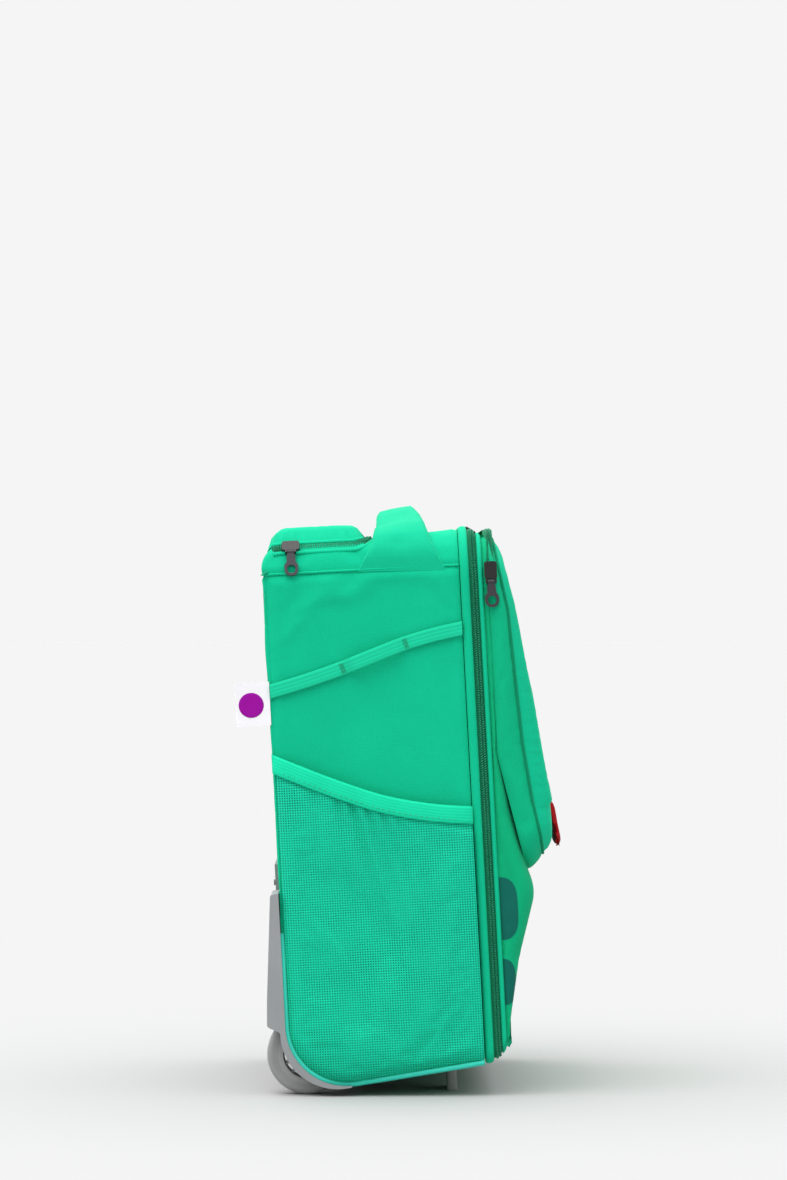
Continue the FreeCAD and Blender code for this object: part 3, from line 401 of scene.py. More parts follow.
def clipped(outline: np.ndarray, axis: int, limit: float) -> np.ndarray:
    """A closed outline with everything past a limit on one axis cut off."""
    kept = []
    for one, two in zip(outline, np.roll(outline, -1, 0)):
        if one[axis] <= limit:
            kept.append(one)
        if (one[axis] - limit) * (two[axis] - limit) < 0:
            kept.append(one + (two - one) * (limit - one[axis]) / (two[axis] - one[axis]))
    return np.array(kept)


def evened(outline: np.ndarray, step: float) -> np.ndarray:
    """A closed outline with even spacing that keeps its sharp corners."""
    into = outline - np.roll(outline, 1, 0)
    out = np.roll(outline, -1, 0) - outline
    cosine = (into * out).sum(1) / (np.linalg.norm(into, axis=1) * np.linalg.norm(out, axis=1) + 1e-12)
    sharp = np.flatnonzero(cosine < math.cos(math.radians(22)))
    if not len(sharp):
        return resampled(np.vstack([outline, outline[:1]]), step)[:-1]
    turned = np.roll(outline, -sharp[0], 0)
    marks = [*(sharp - sharp[0]), len(outline)]
    closed = np.vstack([turned, turned[:1]])
    runs = [resampled(closed[a:b + 1], step)[:-1] for a, b in zip(marks, marks[1:]) if b > a]
    return np.vstack(runs)


@dataclass
class Cut:
    """A flat pattern piece: its outline, its mesh and how far each point is from its edge."""

    outline: np.ndarray
    step: float
    flat: np.ndarray = field(init=False)
    faces: Faces = field(init=False)
    edge: np.ndarray = field(init=False)

    def __post_init__(self) -> None:
        """Fills the outline with evenly spaced points and joins them into triangles."""
        border = evened(self.outline, self.step)
        low, high = border.min(0), border.max(0)
        grid = []
        for index, row in enumerate(np.arange(low[1], high[1], self.step * TRIANGLE_ROWS)):
            places = np.arange(low[0] + (index % 2) * self.step / 2, high[0], self.step)
            grid.append(np.stack([places, np.full(len(places), row)], 1))
        grid = np.vstack(grid)
        grid = grid[inside(grid, border)]
        grid = grid[distance_to(grid, border) > 0.55 * self.step]
        points = np.vstack([border, grid])
        count = len(border)
        edges = [(index, (index + 1) % count) for index in range(count)]
        found = delaunay_2d_cdt([Vector(p) for p in points], edges, [], 0, 1e-7, False)
        self.flat = np.array([tuple(v) for v in found[0]])
        triangles = np.array([tuple(face) for face in found[2]])
        centres = self.flat[triangles].mean(1)
        self.faces = [tuple(int(i) for i in face) for face in triangles[inside(centres, border)]]
        self.edge = distance_to(self.flat, border)
        self.edge[self.edge < 1e-6] = 0.0


def grid_faces(rows: int, columns: int, wrap: bool = False) -> Faces:
    """Quads that join a grid of points.

    Args:
        rows: Points down the grid.
        columns: Points along each row.
        wrap: Whether each row closes on itself.

    Returns:
        The quads as tuples of point numbers.
    """
    made = []
    for row in range(rows - 1):
        for column in range(columns if wrap else columns - 1):
            following = (column + 1) % columns
            made.append((row * columns + column, row * columns + following,
                         (row + 1) * columns + following, (row + 1) * columns + column))
    return made


def normals_of(points: np.ndarray, faces: Faces) -> np.ndarray:
    """A unit normal at every point, weighted by the size of the faces round it."""
    total = np.zeros_like(points)
    for size in (3, 4):
        chosen = np.array([face for face in faces if len(face) == size])
        if not len(chosen):
            continue
        diagonal = points[chosen[:, 2]] - points[chosen[:, 0]]
        other = points[chosen[:, -1]] - points[chosen[:, 1]]
        normal = np.cross(diagonal, other)
        for corner in range(size):
            np.add.at(total, chosen[:, corner], normal)
    return unit(total)


def open_edges(faces: Faces) -> list[tuple[int, int]]:
    """Directed edges that only one face uses."""
    directed = {(face[i], face[(i + 1) % len(face)]) for face in faces for i in range(len(face))}
    return sorted(edge for edge in directed if (edge[1], edge[0]) not in directed)


def thickened(points: np.ndarray, faces: Faces, wall: float) -> tuple[np.ndarray, Faces, int]:
    """A sheet with a wall behind it and its rim closed.

    Args:
        points: The sheet's outer points.
        faces: Its faces, turned outwards.
        wall: Thickness behind the sheet.

    Returns:
        All points, all faces, and how many of the first faces are the outside and rim.
    """
    normals = normals_of(points, faces)
    count = len(points)
    rim = [(a + count, b + count, b, a) for a, b in open_edges(faces)]
    lining = [tuple(i + count for i in reversed(face)) for face in faces]
    return np.vstack([points, points - normals * wall]), [*faces, *rim, *lining], len(faces) + len(rim)


def turned_out(points: np.ndarray, faces: Faces, centre: Sequence[float]) -> Faces:
    """The same faces, turned so that most of them look away from a centre."""
    first = np.array([face[:3] for face in faces])
    normal = np.cross(points[first[:, 1]] - points[first[:, 0]], points[first[:, 2]] - points[first[:, 0]])
    if ((points[first[:, 0]] - np.array(centre)) * normal).sum() < 0:
        return [tuple(reversed(face)) for face in faces]
    return faces


def without(points: np.ndarray, faces: Faces, gone: np.ndarray) -> tuple[np.ndarray, Faces]:
    """What is left of a mesh once some faces, and the points that only they use, are gone."""
    faces = [face for face, out in zip(faces, gone) if not out]
    used = np.unique(np.array(faces))
    number = np.full(len(points), -1)
    number[used] = np.arange(len(used))
    return points[used], [tuple(int(number[i]) for i in face) for face in faces]


@dataclass
class Workshop:
    """Turns case points into dressed objects of the scene."""

    frame: CaseFrame
    shape: CaseShape

    def points_of(self, piece: bpy.types.Object) -> np.ndarray:
        """The piece's points, in case millimetres."""
        points = np.zeros(len(piece.data.vertices) * 3, np.float32)
        piece.data.vertices.foreach_get("co", points)
        return self.frame.case(points.reshape(-1, 3))

    def move_points(self, piece: bpy.types.Object, points: np.ndarray) -> None:
        """Moves the piece's points to case places in millimetres."""
        piece.data.vertices.foreach_set("co", self.frame.world(points).astype(np.float32).ravel())
        piece.data.update()

    def mesh(self, name: str, points: np.ndarray, faces: Faces, finish: bpy.types.Material,
             pattern: np.ndarray | None = None) -> bpy.types.Object:
        """Makes one object from case points.

        Args:
            name: The piece's name.
            points: Case points in millimetres.
            faces: Its faces.
            finish: Its material.
            pattern: Pattern coordinates in millimetres for each point, where they are given.

        Returns:
            The new object, shaded smooth.
        """
        data = bpy.data.meshes.new(name)
        data.from_pydata(self.frame.world(points).tolist(), [], faces)
        data.validate()
        data.shade_smooth()
        data.set_sharp_from_angle(angle=math.radians(50))
        data.materials.append(finish)
        made = bpy.data.objects.new(name, data)
        bpy.context.scene.collection.objects.link(made)
        if pattern is not None:
            self.lay_pattern(made, pattern)
        else:
            self.lay_threads(made)
        return made

    def lay_pattern(self, piece: bpy.types.Object, pattern: np.ndarray) -> None:
        """Stores given pattern coordinates, in metres, as the piece's UV map."""
        layer = piece.data.uv_layers.get("pattern") or piece.data.uv_layers.new(name="pattern")
        corners = np.zeros(len(piece.data.loops), np.int32)
        piece.data.loops.foreach_get("vertex_index", corners)
        layer.data.foreach_set("uv", (np.asarray(pattern)[corners] * MM).astype(np.float32).ravel())

    def lay_threads(self, piece: bpy.types.Object) -> None:
        """Lays pattern coordinates square to the way each face looks, in metres."""
        data = piece.data
        layer = data.uv_layers.get("pattern") or data.uv_layers.new(name="pattern")
        points = self.points_of(piece)
        corners = np.zeros(len(data.loops), np.int32)
        data.loops.foreach_get("vertex_index", corners)
        starts = np.zeros(len(data.polygons), np.int32)
        totals = np.zeros(len(data.polygons), np.int32)
        facing = np.zeros(len(data.polygons) * 3, np.float32)
        data.polygons.foreach_get("loop_start", starts)
        data.polygons.foreach_get("loop_total", totals)
        data.polygons.foreach_get("normal", facing)
        main = np.abs(facing.reshape(-1, 3)).argmax(1)
        owner = np.zeros(len(corners), np.int32)
        owner[np.repeat(starts, totals) + np.concatenate([np.arange(n) for n in totals])] = (
            np.repeat(main, totals))
        axes = np.array([[1, 2], [0, 2], [0, 1]])[owner]
        laid = np.take_along_axis(points[corners], axes, 1) * MM
        layer.data.foreach_set("uv", laid.astype(np.float32).ravel())

    def shell(self, name: str, points: np.ndarray, faces: Faces, wall: float,
              finish: bpy.types.Material, lining: bpy.types.Material | None = None,
              centre: Sequence[float] | None = None) -> bpy.types.Object:
        """A padded wall with a lined back.

        Args:
            name: The piece's name.
            points: Its outer face.
            faces: Faces of the outer face.
            wall: Its thickness.
            finish: Material outside.
            lining: Material inside, where it differs.
            centre: A point the outer face looks away from.

        Returns:
            The new object.
        """
        faces = turned_out(points, faces, centre or self.shape.middle)
        solid, all_faces, outer = thickened(points, faces, wall)
        made = self.mesh(name, solid, all_faces, finish)
        if lining:
            made.data.materials.append(lining)
            slots = np.zeros(len(made.data.polygons), np.int32)
            slots[outer:] = 1
            made.data.polygons.foreach_set("material_index", slots)
        return made

    def sweep(self, name: str, path: np.ndarray, out: np.ndarray, section: np.ndarray,
              finish: bpy.types.Material, closed: bool = False) -> bpy.types.Object:
        """Carries a closed section along a path.

        Args:
            name: The piece's name.
            path: Centre line.
            out: At each point of the path, the way the section's second axis looks.
            section: Points of the section: along the band's width, and outwards.
            finish: Its material.
            closed: Whether the path closes on itself.

        Returns:
            The new object, with pattern coordinates along and round it.
        """
        around = np.roll(path, -1, 0) - np.roll(path, 1, 0)
        tangent = unit(around if closed else np.gradient(path, axis=0))
        across = unit(np.cross(tangent, out))
        outward = np.cross(across, tangent)
        sections = np.asarray(section, float)
        if sections.ndim == 2:
            sections = np.repeat(sections[None], len(path), 0)
        points = (path[:, None] + across[:, None] * sections[:, :, :1]
                  + outward[:, None] * sections[:, :, 1:])
        rows, columns = points.shape[:2]
        faces = grid_faces(rows, columns, wrap=True)
        if closed:
            last = (rows - 1) * columns
            faces += [(last + c, last + (c + 1) % columns, (c + 1) % columns, c) for c in range(columns)]
        else:
            faces += [tuple(range(columns))[::-1], tuple((rows - 1) * columns + c for c in range(columns))]
        flat = points.reshape(-1, 3)
        one, two, three = flat[list(faces[0][:3])]
        if np.cross(two - one, three - one) @ (one - path[0]) < 0:
            faces = [tuple(reversed(face)) for face in faces]
        along = np.repeat(measured(path), columns)
        return self.mesh(name, flat, faces, finish, np.stack([along, sections[:, :, 0].ravel()], 1))

    def pillow(self, name: str, cut: Cut, front: np.ndarray, back: np.ndarray, centre: Sequence[float],
               finish: bpy.types.Material) -> bpy.types.Object:
        """Sews two faces of one cut together round their edge.

        Args:
            name: The piece's name.
            cut: The pattern piece that both are cut by.
            front: Points of the face that looks away from the centre.
            back: Points of the face behind it.
            centre: A point that the front looks away from.
            finish: Its material.

        Returns:
            The new object, closed.
        """
        border = cut.edge <= 0
        number = np.arange(len(front), 2 * len(front))
        number[border] = np.flatnonzero(border)
        faces = turned_out(front, cut.faces, centre)
        behind = [tuple(int(number[i]) for i in reversed(face)) for face in faces]
        return self.mesh(name, np.vstack([front, back]), faces + behind, finish)

    def joined(self, name: str, pieces: list[bpy.types.Object]) -> bpy.types.Object:
        """One object from several, which keeps the first one's material slots."""
        for other in bpy.context.selected_objects:
            other.select_set(False)
        for piece in pieces:
            piece.select_set(True)
        bpy.context.view_layer.objects.active = pieces[0]
        bpy.ops.object.join()
        pieces[0].name = name
        return pieces[0]


def ring_section(radius: float, count: int = 10, flatten: float = 1.0) -> np.ndarray:
    """A round or oval section."""
    turn = np.linspace(0, 2 * math.pi, count, endpoint=False)
    return np.stack([radius * np.cos(turn), flatten * radius * np.sin(turn)], 1)


def band_section(width: float, thick: float, crown: float = 0.0, columns: int = 8) -> np.ndarray:
    """A flat band's section that lies on its centre line, with soft edges.

    Args:
        width: Across the band.
        thick: How thick it is.
        crown: How much its middle stands above its edges.
        columns: Points across its face.

    Returns:
        Points of the closed section.
    """
    edge = min(thick / 2, width / 6)
    across = np.linspace(-width / 2 + edge, width / 2 - edge, columns)
    dome = crown * (1 - (2 * across / width) ** 2)
    upper = np.stack([across, thick + dome], 1)
    right = [(width / 2, thick / 2)]
    left = [(-width / 2, thick / 2)]
    lower = np.stack([across[::-1], np.zeros(columns)], 1)
    return np.vstack([upper, right, lower, left])


def settle(piece: bpy.types.Object, pinned: np.ndarray, pressure: float, cap: float,
           slack: float = 0.0) -> None:
    """Lets cloth fill out between its seams, and keeps the result as the mesh.

    Args:
        piece: The cloth, in place.
        pinned: Which points are sewn down.
        pressure: How hard the padding pushes.
        cap: Furthest that a point may move, in millimetres.
        slack: How much larger the cloth is cut than the space it fills.
    """
    scene = bpy.context.scene
    group = piece.vertex_groups.new(name="sewn")
    group.add([int(index) for index in np.flatnonzero(pinned)], 1.0, "REPLACE")
    filling = piece.modifiers.new("filling", "CLOTH")
    filling.settings.quality = 6
    filling.settings.vertex_group_mass = "sewn"
    filling.settings.tension_stiffness = 20
    filling.settings.compression_stiffness = 20
    filling.settings.bending_stiffness = 0.6
    filling.settings.shrink_min = -slack
    filling.settings.use_pressure = True
    filling.settings.uniform_pressure_force = pressure
    filling.settings.effector_weights.gravity = 0
    filling.collision_settings.use_collision = False
    filling.point_cache.frame_start = 1
    filling.point_cache.frame_end = 20
    for frame_number in range(1, 21):
        scene.frame_set(frame_number)
    rest = np.zeros(len(piece.data.vertices) * 3, np.float32)
    piece.data.vertices.foreach_get("co", rest)
    filled = piece.evaluated_get(bpy.context.evaluated_depsgraph_get())
    moved = np.zeros_like(rest)
    filled.data.vertices.foreach_get("co", moved)
    shift = (moved - rest).reshape(-1, 3)
    length = np.linalg.norm(shift, axis=1)
    shift *= np.minimum(1.0, cap * MM / np.maximum(length, 1e-9))[:, None]
    piece.modifiers.remove(filling)
    piece.vertex_groups.remove(group)
    piece.data.vertices.foreach_set("co", (rest + shift.ravel()).astype(np.float32))
    piece.data.update()
    scene.frame_set(1)


def settled_sheet(shop: Workshop, points: np.ndarray, faces: Faces, free: np.ndarray,
                  pressure: float, cap: float, slack: float) -> np.ndarray:
    """Fills out an open sheet before it gets its wall.

    Args:
        shop: The workshop.
        points: The sheet, in case millimetres.
        faces: Its faces, turned outwards.
        free: Which points may move.
        pressure: How hard the padding pushes.
        cap: Furthest that a point may move.
        slack: How much larger the cloth is cut than the space it fills.

    Returns:
        The settled points, in case millimetres.
    """
    data = bpy.data.meshes.new("settling")
    data.from_pydata(shop.frame.world(points).tolist(), [], faces)
    sheet = bpy.data.objects.new("settling", data)
    bpy.context.scene.collection.objects.link(sheet)
    settle(sheet, ~free, pressure, cap, slack)
    moved = shop.points_of(sheet)
    bpy.data.objects.remove(sheet)
    bpy.data.meshes.remove(data)
    return moved


# ---- Finishes ----------------------------------------------------------------


def srgb(code: str) -> tuple[float, float, float, float]:
    """Turns a six-figure sRGB hex colour to linear with full alpha."""
    parts = [int(code[i:i + 2], 16) / 255 for i in (0, 2, 4)]
    linear = [p / 12.92 if p <= 0.04045 else ((p + 0.055) / 1.055) ** 2.4 for p in parts]
    return (*linear, 1.0)


def add(tree: bpy.types.NodeTree, kind: str, settings: dict | None = None,
        links: dict | None = None) -> bpy.types.Node:
    """Adds a node with its settings and links.

    Args:
        tree: The node tree.
        kind: The node's type, without ShaderNode.
        settings: Its properties, or values of its input sockets by name or number.
        links: Output sockets to join to its input sockets, by name or number.

    Returns:
        The new node.
    """
    node = tree.nodes.new("ShaderNode" + kind)
    for key, value in (settings or {}).items():
        if isinstance(key, str) and hasattr(node, key):
            setattr(node, key, value)
        else:
            node.inputs[key].default_value = value
    for key, socket in (links or {}).items():
        tree.links.new(socket, node.inputs[key])
    return node


def shader_of(name: str, settings: dict) -> tuple[bpy.types.Material, bpy.types.NodeTree, bpy.types.Node]:
    """A material with one principled shader, and its tree and shader."""
    material = bpy.data.materials.new(name)
    material.use_nodes = True
    tree = material.node_tree
    tree.nodes.clear()
    shader = add(tree, "BsdfPrincipled", settings)
    add(tree, "OutputMaterial", links={"Surface": shader.outputs[0]})
    return material, tree, shader


@dataclass(frozen=True)
class WovenPolyester:
    """Plain-woven polyester, backed with foam: dull, with a soft bloom at grazing angles."""

    name: str
    colour: str
    shade: str
    thread: float = 1.2  # real threads are 0.35 mm; drawn coarser so that the weave shows
    relief: float = 0.25
    sheen: float = 0.03
    print_colour: str | None = None

    def build(self) -> bpy.types.Material:
        """Makes the woven material."""
        material, tree, shader = shader_of(self.name, {
            "Roughness": 0.85, "Sheen Weight": self.sheen, "Sheen Roughness": 0.5, "IOR": 1.46,
            "Specular IOR Level": 0.1})
        pattern = add(tree, "UVMap", {"uv_map": "pattern"})
        threads = add(tree, "Mapping", {"Scale": (1000 / self.thread,) * 3},
                      {"Vector": pattern.outputs[0]})
        one_wave = {"Scale": ONE_WAVE, "Distortion": 0.4, "Detail": 1.0}
        warp = add(tree, "TexWave", {**one_wave, "bands_direction": "X"}, {"Vector": threads.outputs[0]})
        weft = add(tree, "TexWave", {**one_wave, "bands_direction": "Y"}, {"Vector": threads.outputs[0]})
        over = add(tree, "TexChecker", {"Scale": 1.0}, {"Vector": threads.outputs[0]})
        weave = add(tree, "Mix", {"data_type": "FLOAT"},
                    {0: over.outputs[1], 2: warp.outputs[1], 3: weft.outputs[1]})
        place = add(tree, "TexCoord")
        uneven = add(tree, "TexNoise", {"Scale": 28.0, "Detail": 3.0, "Roughness": 0.55},
                     {"Vector": place.outputs["Object"]})
        slub = add(tree, "TexNoise", {"Scale": 900.0, "Detail": 2.0}, {"Vector": place.outputs["Object"]})
        # Painted shade: the low threads of the weave lean towards the darker shade colour; the large noise
        # and slub are random tone.
        depth = add(tree, "Math", {"operation": "MULTIPLY", 1: 0.35}, {0: weave.outputs[0]})
        mottle_and_weave_shade = add(tree, "Math", {"operation": "MULTIPLY_ADD", 1: 0.5},
                   {0: uneven.outputs[0], 2: depth.outputs[0]})
        share = add(tree, "Math", {"operation": "MULTIPLY_ADD", 1: 0.25, "use_clamp": True},
                    {0: slub.outputs[0], 2: mottle_and_weave_shade.outputs[0]})
        cloth = add(tree, "Mix", {"data_type": "RGBA", 6: srgb(self.shade), 7: srgb(self.colour)},
                    {0: share.outputs[0]})
        colour = cloth.outputs[2]
        if self.print_colour:
            printed = add(tree, "Attribute", {"attribute_name": "print"})
            edge = add(tree, "MapRange", {"From Min": -0.02, "From Max": 0.06},
                       {"Value": printed.outputs["Fac"]})
            inked = add(tree, "Mix", {"data_type": "RGBA", 7: srgb(self.print_colour)},
                        {0: edge.outputs[0], 6: colour})
            colour = inked.outputs[2]
        bump = add(tree, "Bump", {"Strength": self.relief, "Distance": 0.0003},
                   {"Height": weave.outputs[0]})
        tree.links.new(colour, shader.inputs["Base Color"])
        tree.links.new(bump.outputs[0], shader.inputs["Normal"])
        return material


@dataclass(frozen=True)
class RibbedWebbing:
    """Woven polyester webbing: long ribs with fine picks across them, with a painted highlight on the raised
    ribs and painted shade in the grooves.
    """

    name: str
    colour: str
    shade: str
    rib: float = 2.4
    pick: float = 1.3  # real picks are 0.6 mm; drawn coarser so that they show

    def build(self) -> bpy.types.Material:
        """Makes the webbing material."""
        material, tree, shader = shader_of(self.name, {
            "Roughness": 0.75, "Sheen Weight": 0.03, "Specular IOR Level": 0.15, "IOR": 1.46})
        pattern = add(tree, "UVMap", {"uv_map": "pattern"})
        scaled = add(tree, "Mapping", {"Scale": (1000 / self.pick, 1000 / self.rib, 1000)},
                     {"Vector": pattern.outputs[0]})
        picks = add(tree, "TexWave", {"Scale": ONE_WAVE, "bands_direction": "X", "Distortion": 0.3},
                    {"Vector": scaled.outputs[0]})
        ribs = add(tree, "TexWave", {"Scale": ONE_WAVE, "bands_direction": "Y"},
                   {"Vector": scaled.outputs[0]})
        height = add(tree, "Math", {"operation": "MULTIPLY_ADD", 1: 0.4},
                     {0: picks.outputs[1], 2: ribs.outputs[1]})
        # Painted light: raised ribs take the lighter colour, grooves the darker shade.
        share = add(tree, "Math", {"operation": "MULTIPLY", 1: 0.75}, {0: height.outputs[0]})
        colour = add(tree, "Mix", {"data_type": "RGBA", 6: srgb(self.shade), 7: srgb(self.colour)},
                     {0: share.outputs[0]})
        bump = add(tree, "Bump", {"Strength": 0.22, "Distance": 0.0003}, {"Height": height.outputs[0]})
        tree.links.new(colour.outputs[2], shader.inputs["Base Color"])
        tree.links.new(bump.outputs[0], shader.inputs["Normal"])
        return material


@dataclass(frozen=True)
class KnittedMesh:
    """Warp-knitted polyester mesh: rows of small eyes, painted dark for the shade on the padded side that
    shows through.
    """

    name: str
    colour: str
    eye_shade_colour: str
    pitch: float = 1.7  # real eyes are 1.5 mm apart

    def build(self) -> bpy.types.Material:
        """Makes the mesh material."""
        material, tree, shader = shader_of(self.name, {
            "Roughness": 0.78, "Sheen Weight": 0.03, "Specular IOR Level": 0.12, "IOR": 1.46})
        pattern = add(tree, "UVMap", {"uv_map": "pattern"})
        scaled = add(tree, "Mapping", {"Scale": (1000 / self.pitch,) * 3}, {"Vector": pattern.outputs[0]})
        one_wave = {"Scale": ONE_WAVE}
        rows = add(tree, "TexWave", {**one_wave, "bands_direction": "X"}, {"Vector": scaled.outputs[0]})
        lines = add(tree, "TexWave", {**one_wave, "bands_direction": "Y"}, {"Vector": scaled.outputs[0]})
        both = add(tree, "Math", {"operation": "MULTIPLY"}, {0: rows.outputs[1], 1: lines.outputs[1]})
        eye = add(tree, "MapRange", {"From Min": 0.2, "From Max": 0.5}, {"Value": both.outputs[0]})
        place = add(tree, "TexCoord")
        uneven = add(tree, "TexNoise", {"Scale": 45.0, "Detail": 3.0}, {"Vector": place.outputs["Object"]})
        depth = add(tree, "MapRange", {"From Min": 0.35, "From Max": 0.65, "To Min": 0.75, "To Max": 1.0},
                    {"Value": uneven.outputs[0]})
        open_eye = add(tree, "Math", {"operation": "MULTIPLY"}, {0: eye.outputs[0], 1: depth.outputs[0]})
        # Painted shade in the eyes, where the padded side behind the mesh lies in shade.
        colour = add(tree, "Mix", {"data_type": "RGBA", 6: srgb(self.colour), 7: srgb(self.eye_shade_colour)},
                     {0: open_eye.outputs[0]})
        bump = add(tree, "Bump", {"Strength": 0.6, "Distance": 0.0004, "invert": True},
                   {"Height": open_eye.outputs[0]})
        tree.links.new(colour.outputs[2], shader.inputs["Base Color"])
        tree.links.new(bump.outputs[0], shader.inputs["Normal"])
        return material


@dataclass(frozen=True)
class Moulded:
    """Injection-moulded plastic or rubber: an even colour with a fine grain that breaks up its gloss."""

    name: str
    colour: str
    shade: str
    roughness: float
    grain: float = 0.8  # spark-eroded grain of about 0.1 mm, drawn coarser so that it shows
    relief: float = 0.12
    ior: float = 1.49

    def build(self) -> bpy.types.Material:
        """Makes the moulded material."""
        material, tree, shader = shader_of(self.name, {"IOR": self.ior})
        place = add(tree, "TexCoord")
        grain = add(tree, "TexNoise", {"Scale": 1000 / self.grain, "Detail": 2.0},
                    {"Vector": place.outputs["Object"]})
        scuffs = add(tree, "TexNoise", {"Scale": 35.0, "Detail": 4.0, "Roughness": 0.6},
                     {"Vector": place.outputs["Object"]})
        colour = add(tree, "Mix", {"data_type": "RGBA", 6: srgb(self.shade), 7: srgb(self.colour)},
                     {0: scuffs.outputs[0]})
        rough = add(tree, "MapRange", {"To Min": self.roughness - 0.08, "To Max": self.roughness + 0.1},
                    {"Value": scuffs.outputs[0]})
        bump = add(tree, "Bump", {"Strength": self.relief, "Distance": 0.0002},
                   {"Height": grain.outputs[0]})
        tree.links.new(colour.outputs[2], shader.inputs["Base Color"])
        tree.links.new(rough.outputs[0], shader.inputs["Roughness"])
        tree.links.new(bump.outputs[0], shader.inputs["Normal"])
        return material


@dataclass(frozen=True)
class WorkedMetal:
    """Drawn, anodised or plated metal: long draw lines spread the highlight along the part."""

    name: str
    colour: str
    roughness: float
    line: float = 0.6

    def build(self) -> bpy.types.Material:
        """Makes the metal material."""
        material, tree, shader = shader_of(self.name, {"Base Color": srgb(self.colour), "Metallic": 1.0})
        place = add(tree, "TexCoord")
        drawn = add(tree, "Mapping", {"Scale": (1000 / self.line, 1000 / self.line, 12.0)},
                    {"Vector": place.outputs["Object"]})
        lines = add(tree, "TexNoise", {"Scale": 1.0, "Detail": 2.0}, {"Vector": drawn.outputs[0]})
        rough = add(tree, "MapRange", {"To Min": self.roughness - 0.07, "To Max": self.roughness + 0.1},
                    {"Value": lines.outputs[0]})
        bump = add(tree, "Bump", {"Strength": 0.08, "Distance": 0.0001}, {"Height": lines.outputs[0]})
        tree.links.new(rough.outputs[0], shader.inputs["Roughness"])
        tree.links.new(bump.outputs[0], shader.inputs["Normal"])
        return material


@dataclass
class Finishes:
    """Every finish of the case, built once."""

    body: bpy.types.Material = field(init=False)

    def __post_init__(self) -> None:
        """Builds the materials."""
        cloth = WovenPolyester
        self.body = cloth("polyester_600d_woven_jade", "0fc496", "06ae80").build()
        self.flap = cloth("polyester_600d_woven_jade_flap", "14c698", "09b082").build()
        self.handle = cloth("polyester_600d_woven_jade_handle", "12bf92", "08aa7d").build()
        # The gusset finish, also used on the sole, is a darker copy of the body cloth: painted shade.
        self.gusset = cloth("polyester_420d_woven_gusset", "0cb987", "06a273", thread=1.0).build()
        # The lid's cloth is darker than the body's for painted shade; its spots in print_colour are real
        # print.
        self.lid = cloth("polyester_600d_woven_printed", "0cb47f", "069b69", print_colour="106558").build()
        self.lining = cloth("polyester_210d_lining", "149a72", "108a66", thread=0.9, relief=0.1).build()
        self.red = cloth("polyester_woven_red", "a80b12", "82060a", thread=0.9).build()
        self.webbing = RibbedWebbing("polyester_webbing_light_jade", "19d0a0", "12bd90").build()
        self.binding = RibbedWebbing("elastic_binding_bright_jade", "14ddaa", "10cd9c", rib=2.0).build()
        self.packing = RibbedWebbing("polyester_webbing_black", "2b2c2e", "17181a").build()
        # The mesh's dark eyes are painted shade.
        self.mesh = KnittedMesh("polyester_mesh_knitted", "14cba2", "04785c").build()
        self.piping = WovenPolyester("bias_binding_turquoise", "45d6c0", "30c4ae", thread=1.0).build()
        self.tape = RibbedWebbing("zip_tape_dark_jade", "0a7650", "066443", rib=1.6, pick=1.0).build()
        self.coil = Moulded("nylon_coil_spun", "1f9b72", "127a57", 0.4, relief=0.02, ior=1.53).build()
        # Thread darker than the bands it sews: partly its own colour, partly painted shade of the stitch
        # holes.
        self.thread = Moulded("polyester_sewing_thread", "14b488", "0e9c73", 0.6, relief=0.02).build()
        # The pocket's seam cord is dark for painted shade in the seam's recess.
        self.seam_cord = cloth("seam_binding_shadow", "0b8f66", "087a55", thread=1.0).build()
        self.label = cloth("satin_label_woven", "f6f5f7", "e9e7ee", thread=0.8, relief=0.1).build()
        self.patch = cloth("satin_patch_violet", "a011a0", "8c0c90", thread=0.8, relief=0.1).build()
        self.grey = Moulded("polypropylene_moulded_grey", "979a9c", "8b8e90", 0.5).build()
        self.kick = Moulded("polypropylene_moulded_grey_plate", "8c8b8c", "828183", 0.5).build()
        self.skid = Moulded("polypropylene_moulded_slate", "6e7475", "62686a", 0.5).build()
        self.foot = Moulded("rubber_moulded_light_grey", "a5a3a4", "969495", 0.65).build()
        self.tread = Moulded("thermoplastic_rubber_tread", "9b9c9c", "8b8c8c", 0.62, ior=1.52).build()
        self.hub = Moulded("polypropylene_moulded_hub", "a7a8a8", "969797", 0.45).build()
        self.bush = Moulded("acetal_bush_turned", "d8d8d4", "c8c8c4", 0.35, relief=0.03).build()
        self.grip = Moulded("polypropylene_moulded_black_grip", "26282a", "1b1c1e", 0.42).build()
        self.tray = Moulded("abs_moulded_black_tray", "232527", "191a1c", 0.5).build()
        self.board = Moulded("polypropylene_sheet_extruded", "3a3c3e", "303234", 0.55).build()
        self.slider = Moulded("zinc_die_cast_black_enamel", "1b1a1d", "111012", 0.22, relief=0.02).build()
        self.pull = Moulded("polyurethane_moulded_charcoal_pull", "35333a", "27262b", 0.5).build()
        self.tube = WorkedMetal("aluminium_drawn_anodised", "b9bcc0", 0.32).build()
        self.steel = WorkedMetal("steel_turned_zinc_plated", "a6a8aa", 0.3).build()


# ---- Sewing helpers ----------------------------------------------------------


